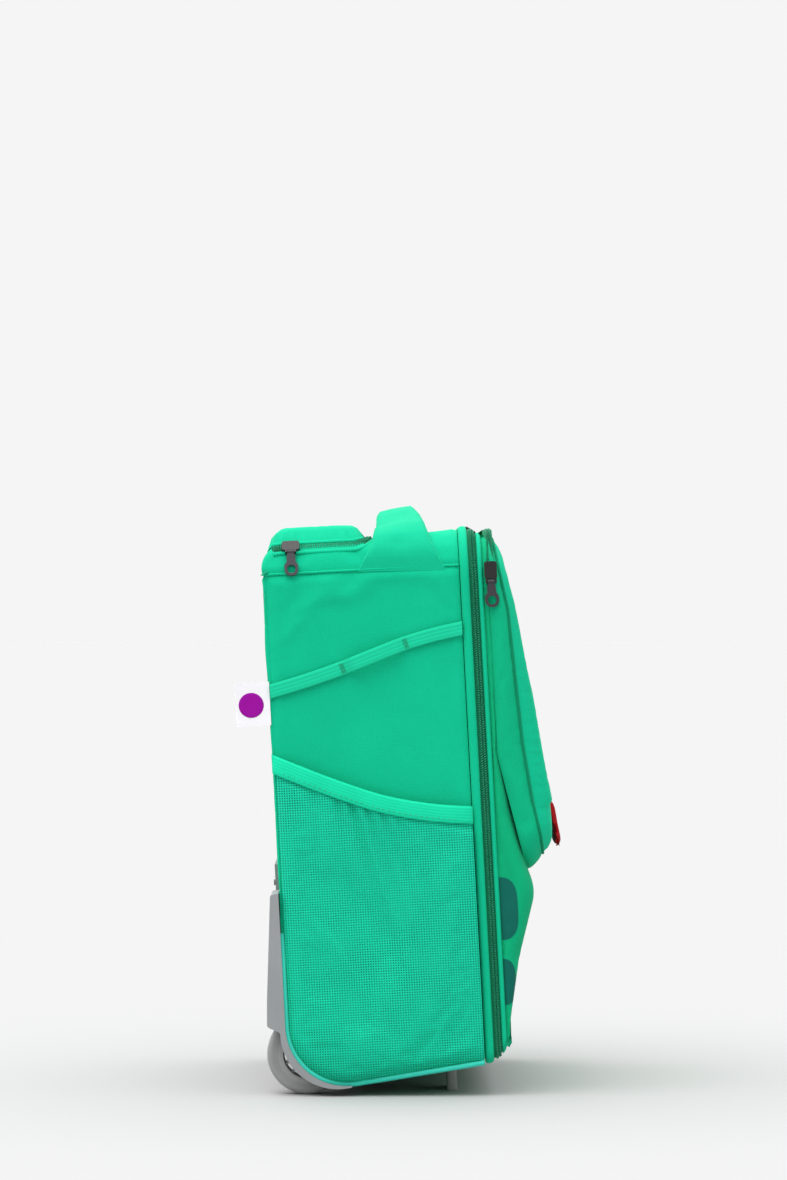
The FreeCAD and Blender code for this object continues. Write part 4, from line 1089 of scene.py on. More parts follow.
@dataclass
class Bench:
    """What every sub-assembly works with."""

    shop: Workshop
    finish: Finishes

    @property
    def shape(self) -> CaseShape:
        """The case's sizes."""
        return self.shop.shape

    def dress(self, piece: bpy.types.Object, body: str, slot: str, replaces: Sequence[str] = (),
              fill: float | None = None) -> bpy.types.Object:
        """Puts a finished piece on its body.

        Args:
            piece: The piece, in place.
            body: The body that it rides on.
            slot: The record's material slot; not used.
            replaces: CAD nodes that it stands for.
            fill: How full it is, where it is padded; not used.

        Returns:
            The same piece.
        """
        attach(piece, body)
        return self.note(piece, replaces)

    def stretch_over(self, piece: bpy.types.Object, bodies: tuple[str, str], start: tuple, end: tuple,
                     slot: str, replaces: Sequence[str] = (), fill: float | None = None) -> bpy.types.Object:
        """Bakes a finished piece's placement into its mesh and hides the nodes it stands for; it is not bent
        between two bodies.

        Args:
            piece: The piece, in place.
            bodies: The bodies at its two ends; not used.
            start: Case point where a bend would start; it is only turned into a row-frame point.
            end: Case point where the bend would be complete; it is only turned into a row-frame point.
            slot: The record's material slot; not used.
            replaces: CAD nodes that it stands for.
            fill: How full it is, where it is padded; not used.

        Returns:
            The same piece.
        """
        frame = self.shop.frame
        frame.spot(*start)
        frame.spot(*end)
        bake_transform(piece)
        return self.note(piece, replaces)

    def note(self, piece: bpy.types.Object, replaces: Sequence[str]) -> bpy.types.Object:
        """Hides the nodes that a piece stands for, and reports it."""
        if replaces:
            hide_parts(*replaces)
        LOG.info("%s: %d points", piece.name, len(piece.data.vertices))
        return piece

    def quilted(self, name: str, points: np.ndarray, faces: Faces, finish: bpy.types.Material,
                wall: float = 3.4, crown: float = 1.0, dip: float = 1.5, cap: float = 1.4,
                slack: float = 0.004, pressure: float = 1.2,
                lining: bpy.types.Material | None = None,
                centre: Sequence[float] | None = None) -> bpy.types.Object:
        """A padded panel: full in the middle, drawn down at its seams.

        Args:
            name: The piece's name.
            points: Its face before padding.
            faces: The face's mesh.
            finish: Material outside.
            wall: Thickness of cloth and foam.
            crown: How far the padding lifts the face.
            dip: How far the seam draws it down.
            cap: Furthest that settling may move it.
            slack: Spare cloth.
            pressure: How hard the foam pushes.
            lining: Material inside.
            centre: A point that the face looks away from.

        Returns:
            The panel.
        """
        faces = turned_out(points, faces, centre or self.shape.middle)
        rim = sorted({index for edge in open_edges(faces) for index in edge})
        edge = np.full(len(points), 1e9)
        for index in rim:
            edge = np.minimum(edge, np.linalg.norm(points - points[index], axis=1))
        normals = normals_of(points, faces)
        lift = crown * (1 - np.exp(-edge / 10)) - dip * np.exp(-(edge / 1.8) ** 2)
        points = points + normals * lift[:, None]
        if cap:
            points = settled_sheet(self.shop, points, faces, edge > 1.0, pressure, cap, slack)
        return self.shop.shell(name, points, faces, wall, finish, lining or self.finish.lining, centre)

    def stitches(self, name: str, path: np.ndarray, out: np.ndarray, length: float = 2.6,
                 gap: float = 1.2, width: float = 0.7) -> bpy.types.Object:
        """A row of lockstitches along a line.

        Args:
            name: The piece's name.
            path: The line sewn.
            out: The way the cloth faces at each of its points.
            length: Of one stitch.
            gap: Between stitches.
            width: Thread's width.

        Returns:
            The row as one object.
        """
        along = measured(path)
        points, faces = [], []
        across_profile = np.array([-0.5, 0.0, 0.5]) * width
        for place in np.arange(gap, along[-1] - length, length + gap):
            stops = np.linspace(place, place + length, 5)
            line, face = sampled(path, along, stops), sampled(out, along, stops)
            tangent = line[-1] - line[0]
            side = np.cross(tangent / np.linalg.norm(tangent), face[2])
            height = 0.45 * np.sin(np.linspace(0.25, math.pi - 0.25, 5))
            base = len(points)
            for index in range(5):
                for offset, lift in zip(across_profile, (0.0, 1.0, 0.0)):
                    points.append(line[index] + side * offset + face[index] * height[index] * (0.15 + lift))
            faces += [tuple(base + i for i in quad) for quad in grid_faces(5, 3)]
        points = np.array(points)
        faces = turned_out(points, faces, points.mean(0) - out.mean(0) * 50)
        solid, all_faces, _ = thickened(points, faces, 0.3)
        return self.shop.mesh(name, solid, all_faces, self.finish.thread)

    def coil(self, name: str, path: np.ndarray, out: np.ndarray, offset: float, radius: float = 0.85,
             pitch: float = 1.6) -> bpy.types.Object:
        """One side of a nylon zip: a spun coil along the tape's edge.

        Args:
            name: The piece's name.
            path: The zip's centre line.
            out: The way it faces at each point.
            offset: The row's distance from the centre line.
            radius: Of the coil.
            pitch: Between its turns.

        Returns:
            The row as one object.
        """
        along = measured(path)
        places = np.linspace(0, along[-1], int(along[-1] / pitch) * 8 + 1)
        line, face = sampled(path, along, places), unit(sampled(out, along, places))
        side = np.cross(unit(np.gradient(line, axis=0)), face)
        angle = np.arange(len(places)) * 2 * math.pi / 8
        wound = (line + side * (offset + radius * np.cos(angle))[:, None]
                 + face * (0.75 * radius * np.sin(angle))[:, None])
        return self.shop.sweep(name, wound, face, ring_section(0.34, 4), self.finish.coil)

    def trim(self, piece: bpy.types.Object, back: float, front: float) -> None:
        """Draws in whatever stands past two planes across the case."""
        placed = self.shop.points_of(piece)
        placed[:, 1] = np.clip(placed[:, 1], back, front)
        self.shop.move_points(piece, placed)


@dataclass
class Section:
    """A sub-assembly sewn at the bench, from the case's sizes and its finishes."""

    bench: Bench

    @property
    def shape(self) -> CaseShape:
        """The case's sizes."""
        return self.bench.shape

    @property
    def shop(self) -> Workshop:
        """Where its meshes are made."""
        return self.bench.shop

    @property
    def finish(self) -> Finishes:
        """The case's finishes."""
        return self.bench.finish


# ---- Body ----------------------------------------------------------------------


@dataclass
class BodyPanels(Section):
    """The sewn panels behind the side seam."""

    step: float = 3.6
    edge_gap: float = 2.7
    tray: tuple[float, float, float] = (92.6, -1.6, 50.6)
    wheel_from: float = 104.0
    wheel_to: float = 140.0
    wheel_room: float = 33.5

    def build(self) -> None:
        """Sews all the panels."""
        for side in Side:
            self.side_panel(side)
        self.top_panel()
        self.rear_panel()
        self.bottom_panel()
        self.shoulder_cord()

    def side_panel(self, side: Side) -> None:
        """One side, a single padded panel from heel to shoulder."""
        shape = self.shape
        outline = clipped(shape.outline(self.edge_gap), 0, shape.side_seam - 0.4)
        cut = Cut(clipped(outline, 1, shape.shoulder_seam - 0.4), self.step)
        ahead, up = cut.flat.T
        across = shape.half_at(up)
        across = across + 0.5 * np.sin(ahead / 21 + 0.6) * np.sin(up / 43) * ease(cut.edge / 20)
        across = across - 1.3 * np.exp(-((ahead - 46) / 7) ** 2 - ((up - 321) / 5) ** 2)
        across = across - 0.7 * np.exp(-((ahead - 8 - (up - 300) / 3) / 8) ** 2) * ease((up - 285) / 30)
        points = np.stack([side.value * across, ahead, up], 1)
        panel = self.bench.quilted(f"side_panel_padded_{side.label}", points, cut.faces,
                                   self.finish.body, wall=3.2, crown=0.6, cap=1.2)
        self.bench.dress(panel, "case", "jade_cloth", [f"side_panel_{side.label}"], 0.45)

    def top_panel(self) -> None:
        """Top and both shoulders, with the opening for the grip's tray."""
        shape = self.shape
        high = shape.limits_at(shape.side_seam - 0.3)[1]
        line = shape.stretch((shape.side_seam - 0.3, high), (shape.back, shape.shoulder_seam), 3.4)
        rise = np.linspace(math.radians(13.9), math.pi / 2, 16)
        bend = shape.shoulder_across + shape.shoulder_radius * np.cos(rise)
        half, back, front = self.tray
        flat = np.linspace(shape.shoulder_across, half, 6)[1:]
        flat = np.concatenate([flat, np.linspace(half, 0, 26)[1:]])
        across = np.concatenate([-bend, -flat, flat[-2::-1], bend[::-1]])
        for limit in (back, front):
            nearest = int(np.argmin(np.abs(line[:, 0] - limit) + 50 * (line[:, 1] < 345)))
            line[nearest, 0] = limit
        up = shape.roof(across[None, :], line[:, 1:2])
        points = np.stack([np.repeat(across[None], len(line), 0),
                           np.repeat(line[:, :1], len(across), 1), up], -1).reshape(-1, 3)
        faces = grid_faces(len(line), len(across))
        centres = points[np.array(faces)].mean(1)
        opening = ((np.abs(centres[:, 0]) < half) & (centres[:, 1] > back) & (centres[:, 1] < front)
                   & (centres[:, 2] > 340))
        points, faces = without(points, faces, opening)
        panel = self.bench.quilted("top_panel_padded", points, faces, self.finish.body,
                                   wall=3.2, crown=0.5, cap=0.9)
        self.bench.dress(panel, "case", "jade_cloth", ["top_panel"], 0.4)

    def shoulder_cord(self) -> None:
        """The cord sewn into the seam under both shoulders and across the back."""
        shape = self.shape
        inset = 1.7
        side, back = shape.half - inset, shape.back + inset
        plan = rounded([(-side, shape.side_seam - 0.6, 0.0), (-side, back, 2.4), (side, back, 2.4),
                        (side, shape.side_seam - 0.6, 0.0)])
        start = int(np.argmin(np.abs(plan - np.array([-side, shape.side_seam - 0.6])).sum(1)))
        plan = resampled(np.roll(plan, -start, 0), 3.0)
        path = np.column_stack([plan, np.full(len(plan), shape.shoulder_seam - 0.2)])
        out = np.column_stack([plan[:, 0] * (np.abs(plan[:, 0]) > side - 1), plan[:, 1] < back + 1,
                               np.zeros(len(plan))]).astype(float)
        out[:, 0] = np.sign(out[:, 0])
        out[:, 1] *= -1.0
        cord = self.shop.sweep("shoulder_seam_cord", path, unit(out), ring_section(0.9, 8),
                                     self.finish.body)
        self.bench.dress(cord, "case", "jade_cloth")

    def clear_of_wheels(self, points: np.ndarray, faces: Faces) -> tuple[np.ndarray, Faces]:
        """Leaves out the faces that would lie in the wheel wells."""
        centres = points[np.array(faces)].mean(1)
        beside = (np.abs(centres[:, 0]) > self.wheel_from) & (np.abs(centres[:, 0]) < self.wheel_to)
        close = np.hypot(centres[:, 1], centres[:, 2]) < self.wheel_room
        return without(points, faces, beside & close)

    def rear_panel(self) -> None:
        """The back, wrapped round both side edges to its seams."""
        shape = self.shape
        turn = np.linspace(0, math.pi / 2, 5)
        radius = self.edge_gap - 0.2
        wrap = np.stack([-shape.half + radius * (1 - np.cos(turn)),
                         shape.back + radius * (1 - np.sin(turn))], 1)
        flat = np.linspace(-shape.half + radius, 0, 36)[1:]
        left = np.vstack([wrap, np.stack([flat, np.full(35, shape.back)], 1)])
        plan = np.vstack([left, left[-2::-1] * MIRROR[:2]])
        ups = np.linspace(shape.heel_seam, shape.shoulder_seam - 0.3, 86)
        narrow = (shape.half - shape.half_at(ups))[:, None] * np.sign(plan[None, :, 0])
        narrow = narrow * ease(np.abs(plan[None, :, 0]) / shape.half)
        hollow = 0.6 * np.sin(ups[:, None] / 37) * np.sin(plan[None, :, 0] / 48 + 1.1)
        points = np.stack([plan[None, :, 0] - narrow,
                           plan[None, :, 1] + hollow * (np.abs(plan[None, :, 0]) < 135),
                           np.repeat(ups[:, None], len(plan), 1)], -1).reshape(-1, 3)
        points, faces = self.clear_of_wheels(points, grid_faces(len(ups), len(plan)))
        panel = self.bench.quilted("rear_panel_padded", points, faces, self.finish.body,
                                   wall=3.2, crown=0.3, cap=0.8)
        self.bench.dress(panel, "case", "jade_cloth", ["rear_panel"], 0.4)

    def bottom_panel(self) -> None:
        """The sole, from the heel seam to the side seam."""
        shape = self.shape
        low = shape.limits_at(shape.side_seam - 0.3)[0]
        line = shape.stretch((shape.back, shape.heel_seam), (shape.side_seam - 0.3, low), 3.4)
        across = np.linspace(-shape.half + 0.5, shape.half - 0.5, 80)
        beyond = np.clip(np.abs(across) - shape.half + shape.sole_radius, 0, shape.sole_radius)
        sole = shape.sole_up - np.sqrt(shape.sole_radius ** 2 - beyond ** 2)
        up = -smooth_min(-sole[None, :], -line[:, 1:2], 3.0)
        points = np.stack([np.repeat(across[None], len(line), 0),
                           np.repeat(line[:, :1], 80, 1), up], -1).reshape(-1, 3)
        points, faces = self.clear_of_wheels(points, grid_faces(len(line), 80))
        panel = self.bench.quilted("bottom_panel_padded", points, faces, self.finish.gusset,
                                   wall=2.6, crown=0.2, dip=0.6, cap=0.0)
        self.bench.dress(panel, "case", "jade_cloth", ["bottom_panel"], 0.3)


@dataclass
class MainZip(Section):
    """The zip band between body and lid, and the cloth hinge on the right."""

    row: float = 0.95

    def build(self) -> None:
        """Makes bands, tapes, coils and hinge."""
        shape = self.shape
        seam, lid_seam = shape.side_seam, shape.lid_seam
        fold = [(seam + 0.1, -1.1), (seam + 0.5, 0.0), (seam + 1.6, 0.8), (seam + 3.2, 1.1),
                (seam + 4.8, 1.0), (seam + 5.8, 0.5), (seam + 6.2, -0.4), (seam + 6.3, -1.4)]
        self.band("main_zip_fold_case", fold, self.finish.body, "case", "gusset_cloth",
                  ["case_zip_band"], 1.4)
        fold = [(lid_seam - 3.3, -1.4), (lid_seam - 3.2, -0.4), (lid_seam - 2.7, 0.5),
                (lid_seam - 1.6, 0.9), (lid_seam - 0.6, 0.5), (lid_seam - 0.1, -0.4), (lid_seam, -1.5)]
        self.band("main_zip_fold_lid", fold, self.finish.body, "lid", "gusset_cloth",
                  ["lid_zip_band"], 1.2)
        centre = shape.zip_centre
        self.band("main_zip_tape_case", [(seam + 5.0, -1.1), (centre - 2.0, -0.95), (centre - 0.25, -0.9)],
                  self.finish.tape, "case", "gusset_cloth", [], 0.7)
        rows = [(centre + 0.25, -0.9), (centre + 2.0, -0.95), (lid_seam - 2.6, -1.1)]
        self.band("main_zip_tape_lid", rows, self.finish.tape, "lid", "gusset_cloth", [], 0.7)
        self.coils()
        self.hinge()

    def band(self, name: str, rows: Sequence[tuple[float, float]], finish: bpy.types.Material, body: str,
             slot: str, replaces: Sequence[str], wall: float) -> None:
        """A strip of cloth once round the body.

        Args:
            name: The piece's name.
            rows: Place ahead of the axle and distance outside the body, for each line of points.
            finish: Its material.
            body: The body that it rides on.
            slot: The record's material slot.
            replaces: CAD nodes that it stands for.
            wall: Its thickness.
        """
        loops = np.array([self.shape.loop(ahead, grow) for ahead, grow in rows])
        points = loops.reshape(-1, 3)
        faces = grid_faces(len(rows), loops.shape[1], wrap=True)
        middle = (0.0, rows[0][0], 160.0)
        strip = self.shop.shell(name, points, faces, wall, finish, centre=middle)
        self.bench.dress(strip, body, slot, replaces)

    def coils(self) -> None:
        """Both rows of the coil, from the hinge over the top, down the left and back below."""
        shape = self.shape
        for body, sign in (("case", 1), ("lid", -1)):
            loop = shape.loop(shape.zip_centre - sign * self.row, -0.2)
            first = int(np.flatnonzero(loop[:, 0] > shape.zip_end)[-1]) + 1
            path = np.roll(loop, -first, 0)
            path = resampled(path[path[:, 0] <= shape.zip_end], 1.2)
            out = np.zeros_like(path)
            out[:, 2] = np.where(np.abs(path[:, 0]) > shape.half - 1.5, 0.0, path[:, 2] - 165)
            out[:, 0] = np.where(np.abs(path[:, 0]) < shape.shoulder_across, 0.0, path[:, 0])
            shoulder = (np.abs(path[:, 0]) >= shape.shoulder_across) & (path[:, 2] > shape.shoulder_up)
            out[shoulder, 0] = path[shoulder, 0] - np.sign(path[shoulder, 0]) * shape.shoulder_across
            out[shoulder, 2] = path[shoulder, 2] - shape.shoulder_up
            row = self.bench.coil(f"main_zip_coil_{body}", path, unit(out), 0.0, radius=0.8)
            self.bench.dress(row, body, "zip_coil", [f"{body}_zip_coil"])

    def hinge(self) -> None:
        """The cloth that joins lid and body down the right side."""
        shape = self.shape
        ups = np.linspace(4.0, 314.0, 78)
        aheads = np.linspace(shape.side_seam + 4.0, shape.lid_seam - 0.6, 13)
        share = (aheads - aheads[0]) / (aheads[-1] - aheads[0])
        across = shape.half + 1.1 + 0.5 * np.sin(share * math.pi)
        points = np.stack([np.repeat(across[None], 78, 0), np.repeat(aheads[None], 78, 0),
                           np.repeat(ups[:, None], 13, 1)], -1).reshape(-1, 3)
        cloth = self.shop.shell("lid_hinge_cloth", points, grid_faces(78, 13), 0.8,
                                      self.finish.body)
        self.bench.stretch_over(cloth, ("case", "lid"), (143.0, shape.side_seam + 5.0, 160.0),
                                (143.0, shape.lid_seam - 1.6, 160.0), "gusset_cloth")


@dataclass
class Lid(Section):
    """The padded front, with its printed spots."""

    corner: float = 12.0
    spots: tuple = ((93.0, 21.8, 12.4), (43.1, 16.0, 8.4))

    def build(self) -> None:
        """Sews the lid's panel."""
        shape = self.shape
        start = shape.lid_seam + 0.3
        low, high = shape.limits_at(start)
        line = shape.stretch((start, low), (start, high), 2.6)
        rows = []
        for ahead, up in line:
            half = float(shape.half_at(np.array(up)))
            radius = min(self.corner, max(0.25, ahead - start - 0.2))
            turn = np.linspace(0, math.pi / 2, 8)[:-1]
            wall = np.linspace(start - 0.2, ahead - radius, 6)[:-1]
            flat = np.linspace(half - radius, 0, 36)
            across = np.concatenate([np.full(5, half), half - radius + radius * np.cos(turn), flat])
            places = np.concatenate([wall, ahead - radius + radius * np.sin(turn), np.full(36, ahead)])
            left = np.stack([-across, places, np.full(len(across), up)], 1)
            rows.append(np.vstack([left, left[-2::-1] * MIRROR]))
        rows = np.array(rows)
        points = rows.reshape(-1, 3)
        faces = grid_faces(len(line), rows.shape[1])
        panel = self.bench.quilted("lid_panel_padded", points, faces, self.finish.lid, wall=3.0,
                                   crown=0.9, cap=1.2, centre=(0.0, 100.0, 160.0))
        self.mark_spots(panel)
        self.bench.dress(panel, "lid", "gusset_cloth", ["lid_panel"], 0.5)

    def mark_spots(self, panel: bpy.types.Object) -> None:
        """Stores how far inside a printed half oval each point is."""
        across, ahead, up = self.shop.points_of(panel).T
        value = np.full(len(across), -1.0)
        for middle, tall, reach in self.spots:
            along = np.abs((ahead - self.shape.lid_seam) / reach) ** 2.4
            value = np.maximum(value, 1 - along - np.abs((up - middle) / tall) ** 3.4)
        value[np.abs(across) < 110] = -1.0
        stored = panel.data.attributes.new("print", "FLOAT", "POINT")
        stored.data.foreach_set("value", value.astype(np.float32))


@dataclass
class FrontPocket(Section):
    """Gusset, piped front panel, zip and red tab of the pocket on the lid."""

    half: float = 141.5
    top: float = 350.5
    bottom: float = 117.8
    front_bottom: float = 128.4
    front_top: float = 345.6
    base_radii: tuple[float, float] = (26.0, 32.0)
    seam_radii: tuple[float, float] = (24.0, 30.0)
    middle: float = 235.0
    seam_line: tuple = ((143.9, 350.5), (144.9, 345.0), (147.4, 327.8), (152.6, 296.5), (154.9, 255.2),
                        (157.9, 204.5), (162.7, 164.7), (167.0, 141.6), (168.4, 128.4), (168.6, 117.0))
    face_line: tuple = ((145.5, 346.5), (150.1, 337.2), (157.8, 302.8), (163.8, 261.5), (167.9, 234.1),
                        (171.4, 206.6), (175.9, 168.0), (176.4, 165.4), (174.2, 162.6), (174.6, 150.0),
                        (175.2, 138.0), (173.5, 128.0))
    bend: tuple[float, float] = (288.0, 322.0)
    tab_low: float = 126.4
    tab_high: float = 160.4

    def at_height(self, line: Sequence[tuple[float, float]], up: np.ndarray) -> np.ndarray:
        """How far ahead a side-view line is at given heights."""
        table = np.array(sorted(line, key=lambda point: point[1]))
        return np.interp(up, table[:, 1], table[:, 0])

    def outline(self, bottom: float, top: float, radii: tuple[float, float]) -> np.ndarray:
        """The pocket from the front, with its lower and its upper corners rounded."""
        low, high = radii
        return rounded([(-self.half, bottom, low), (self.half, bottom, low),
                        (self.half, top, high), (-self.half, top, high)])

    def ring(self, line: np.ndarray, count: int) -> np.ndarray:
        """An outline once round, anticlockwise, with a given number of even points."""
        closed = np.vstack([line, line[:1]])
        along = measured(closed)
        return sampled(closed, along, np.linspace(0, along[-1], count + 1)[:-1])

    @property
    def base_outline(self) -> np.ndarray:
        """The pocket's outline where it meets the lid."""
        return self.outline(self.bottom, self.top, self.base_radii)

    @property
    def seam_outline(self) -> np.ndarray:
        """The outline of its piped seam."""
        return self.outline(self.front_bottom, self.front_top, self.seam_radii)

    def build(self) -> None:
        """Sews the pocket."""
        self.gusset()
        self.front()
        self.piping()
        self.zip()
        self.tab()

    def hang(self, piece: bpy.types.Object, slot: str, replaces: Sequence[str] = (),
             fill: float | None = None) -> None:
        """Bakes a piece's placement and hides the nodes it stands for; it is neither hung on the lid nor
        moved with the opening mouth.
        """
        low, high = self.bend
        self.bench.stretch_over(piece, ("lid", "pocket_mouth"), (0.0, 150.0, low), (0.0, 150.0, high),
                                slot, replaces, fill)

    def gusset(self) -> None:
        """The band between lid and piped seam, all round the pocket."""
        count, rows = 300, 9
        shape = self.shape
        base, seam = self.ring(self.base_outline, count), self.ring(self.seam_outline, count)
        lid = shape.stretch((shape.lid_front, 60.0), (shape.lid_front, 340.0), 2.0)
        lid_ahead = np.interp(base[:, 1], *lid[np.argsort(lid[:, 1])][:, ::-1].T)
        start = np.maximum(shape.lid_front, lid_ahead) - 1.2
        end = self.at_height(self.seam_line, seam[:, 1])
        layers = []
        for share in np.linspace(0, 1, rows):
            bulge = 3.2 * math.sin(math.pi * share)
            middle = base * (1 - share) + seam * share
            out = middle - np.array([0.0, self.middle])
            out[:, 1] = np.where(np.abs(out[:, 1]) < 80, 0, out[:, 1])
            out[:, 0] = np.where(np.abs(middle[:, 0]) < 108, 0, out[:, 0])
            middle = middle + unit(out) * bulge
            layers.append(np.stack([middle[:, 0], start * (1 - share) + end * share, middle[:, 1]], 1))
        points = np.array(layers).reshape(-1, 3)
        faces = grid_faces(rows, count, wrap=True)
        band = self.bench.quilted("pocket_gusset_padded", points, faces, self.finish.gusset, wall=2.0,
                                  crown=0.0, dip=0.5, cap=0.9, centre=(0.0, 150.0, self.middle))
        self.hang(band, "gusset_cloth", ["pocket_gusset"], 0.4)

    def front(self) -> None:
        """The front panel, domed forward from its piped seam."""
        cut = Cut(self.seam_outline, 4.2)
        across, up = cut.flat.T
        rise = np.sqrt(1 - (1 - np.clip(cut.edge / 13, 0, 1)) ** 2)
        seam = self.at_height(self.seam_line, up)
        face = self.at_height(self.face_line, up)
        ahead = seam + (face - seam) * rise
        points = np.stack([across, ahead, up], 1)
        panel = self.bench.quilted("pocket_front_padded", points, cut.faces, self.finish.body,
                                   wall=2.2, crown=0.0, dip=0.3, cap=1.0,
                                   centre=(0.0, 100.0, self.middle))
        self.hang(panel, "gusset_cloth", ["pocket_front", "pocket_mouth"], 0.5)

    def piping(self) -> None:
        """The cord in the seam between gusset and front."""
        ring = self.ring(self.seam_outline, 420)
        ahead = self.at_height(self.seam_line, ring[:, 1])
        path = np.stack([ring[:, 0], ahead, ring[:, 1]], 1)
        out = unit(np.stack([ring[:, 0], np.zeros(len(ring)), ring[:, 1] - self.middle], 1))
        # The cord's dark colour is painted shade of the seam's recess.
        cord = self.shop.sweep("pocket_seam_piping", path + out * 0.2, out, ring_section(0.95, 8),
                                     self.finish.seam_cord, closed=True)
        self.hang(cord, "gusset_cloth")

    def zip(self) -> None:
        """The pocket's zip over its top, from shoulder to shoulder."""
        ring = self.ring(self.base_outline, 700)
        upper = ring[ring[:, 1] > 319.0]
        upper = upper[np.argsort(np.arctan2(upper[:, 1] - 300.0, upper[:, 0]))]
        path = np.stack([upper[:, 0], np.full(len(upper), 142.2), upper[:, 1]], 1)
        out = np.stack([upper[:, 0], np.zeros(len(upper)), upper[:, 1] - 318.5], 1)
        out[:, 0] -= np.clip(upper[:, 0], -109.5, 109.5)
        out[:, 2] = np.maximum(out[:, 2], 0.05)
        out = unit(out)
        for name, body, offset, width in (("lid", "lid", -2.3, 3.4), ("mouth", "pocket_mouth", 1.5, 2.2)):
            side = np.array([0.0, offset, 0.0])
            tape = self.shop.sweep(f"pocket_zip_tape_{name}", path + side + out * 0.9, out,
                                         band_section(width, 0.6), self.finish.tape)
            row = self.bench.coil(f"pocket_zip_coil_{name}", path + out * 1.5
                                  + np.array([0.0, math.copysign(0.85, offset), 0.0]), out, 0.0, radius=0.7)
            self.bench.dress(tape, body, "gusset_cloth")
            self.bench.dress(row, body, "zip_coil")

    def tab(self) -> None:
        """The stuffed red tab under the lip."""
        low, high = self.tab_low, self.tab_high
        cut = Cut(rounded([(-20.0, low, 9.0), (20.0, low, 9.0), (19.0, high, 5.0), (-19.0, high, 5.0)]), 2.2)
        across, up = cut.flat.T
        swell = np.sqrt(1 - (1 - np.clip(cut.edge / 7, 0, 1)) ** 2)
        middle = 176.9 + 5.4 * (high - up) / (high - low)
        front = np.stack([across, middle + 3.4 * swell, up], 1)
        back = np.stack([across, middle - 2.4 * swell, up], 1)
        tab = self.shop.pillow("pull_tab_stuffed", cut, front, back, (0.0, 100.0, 150.0),
                                     self.finish.red)
        settle(tab, np.tile(up > high - 3, 2), 2.5, 1.2, 0.01)
        self.bench.dress(tab, "pull_tab", "red_cloth", ["pull_tab"], 0.7)


# ---- Sides -----------------------------------------------------------------------


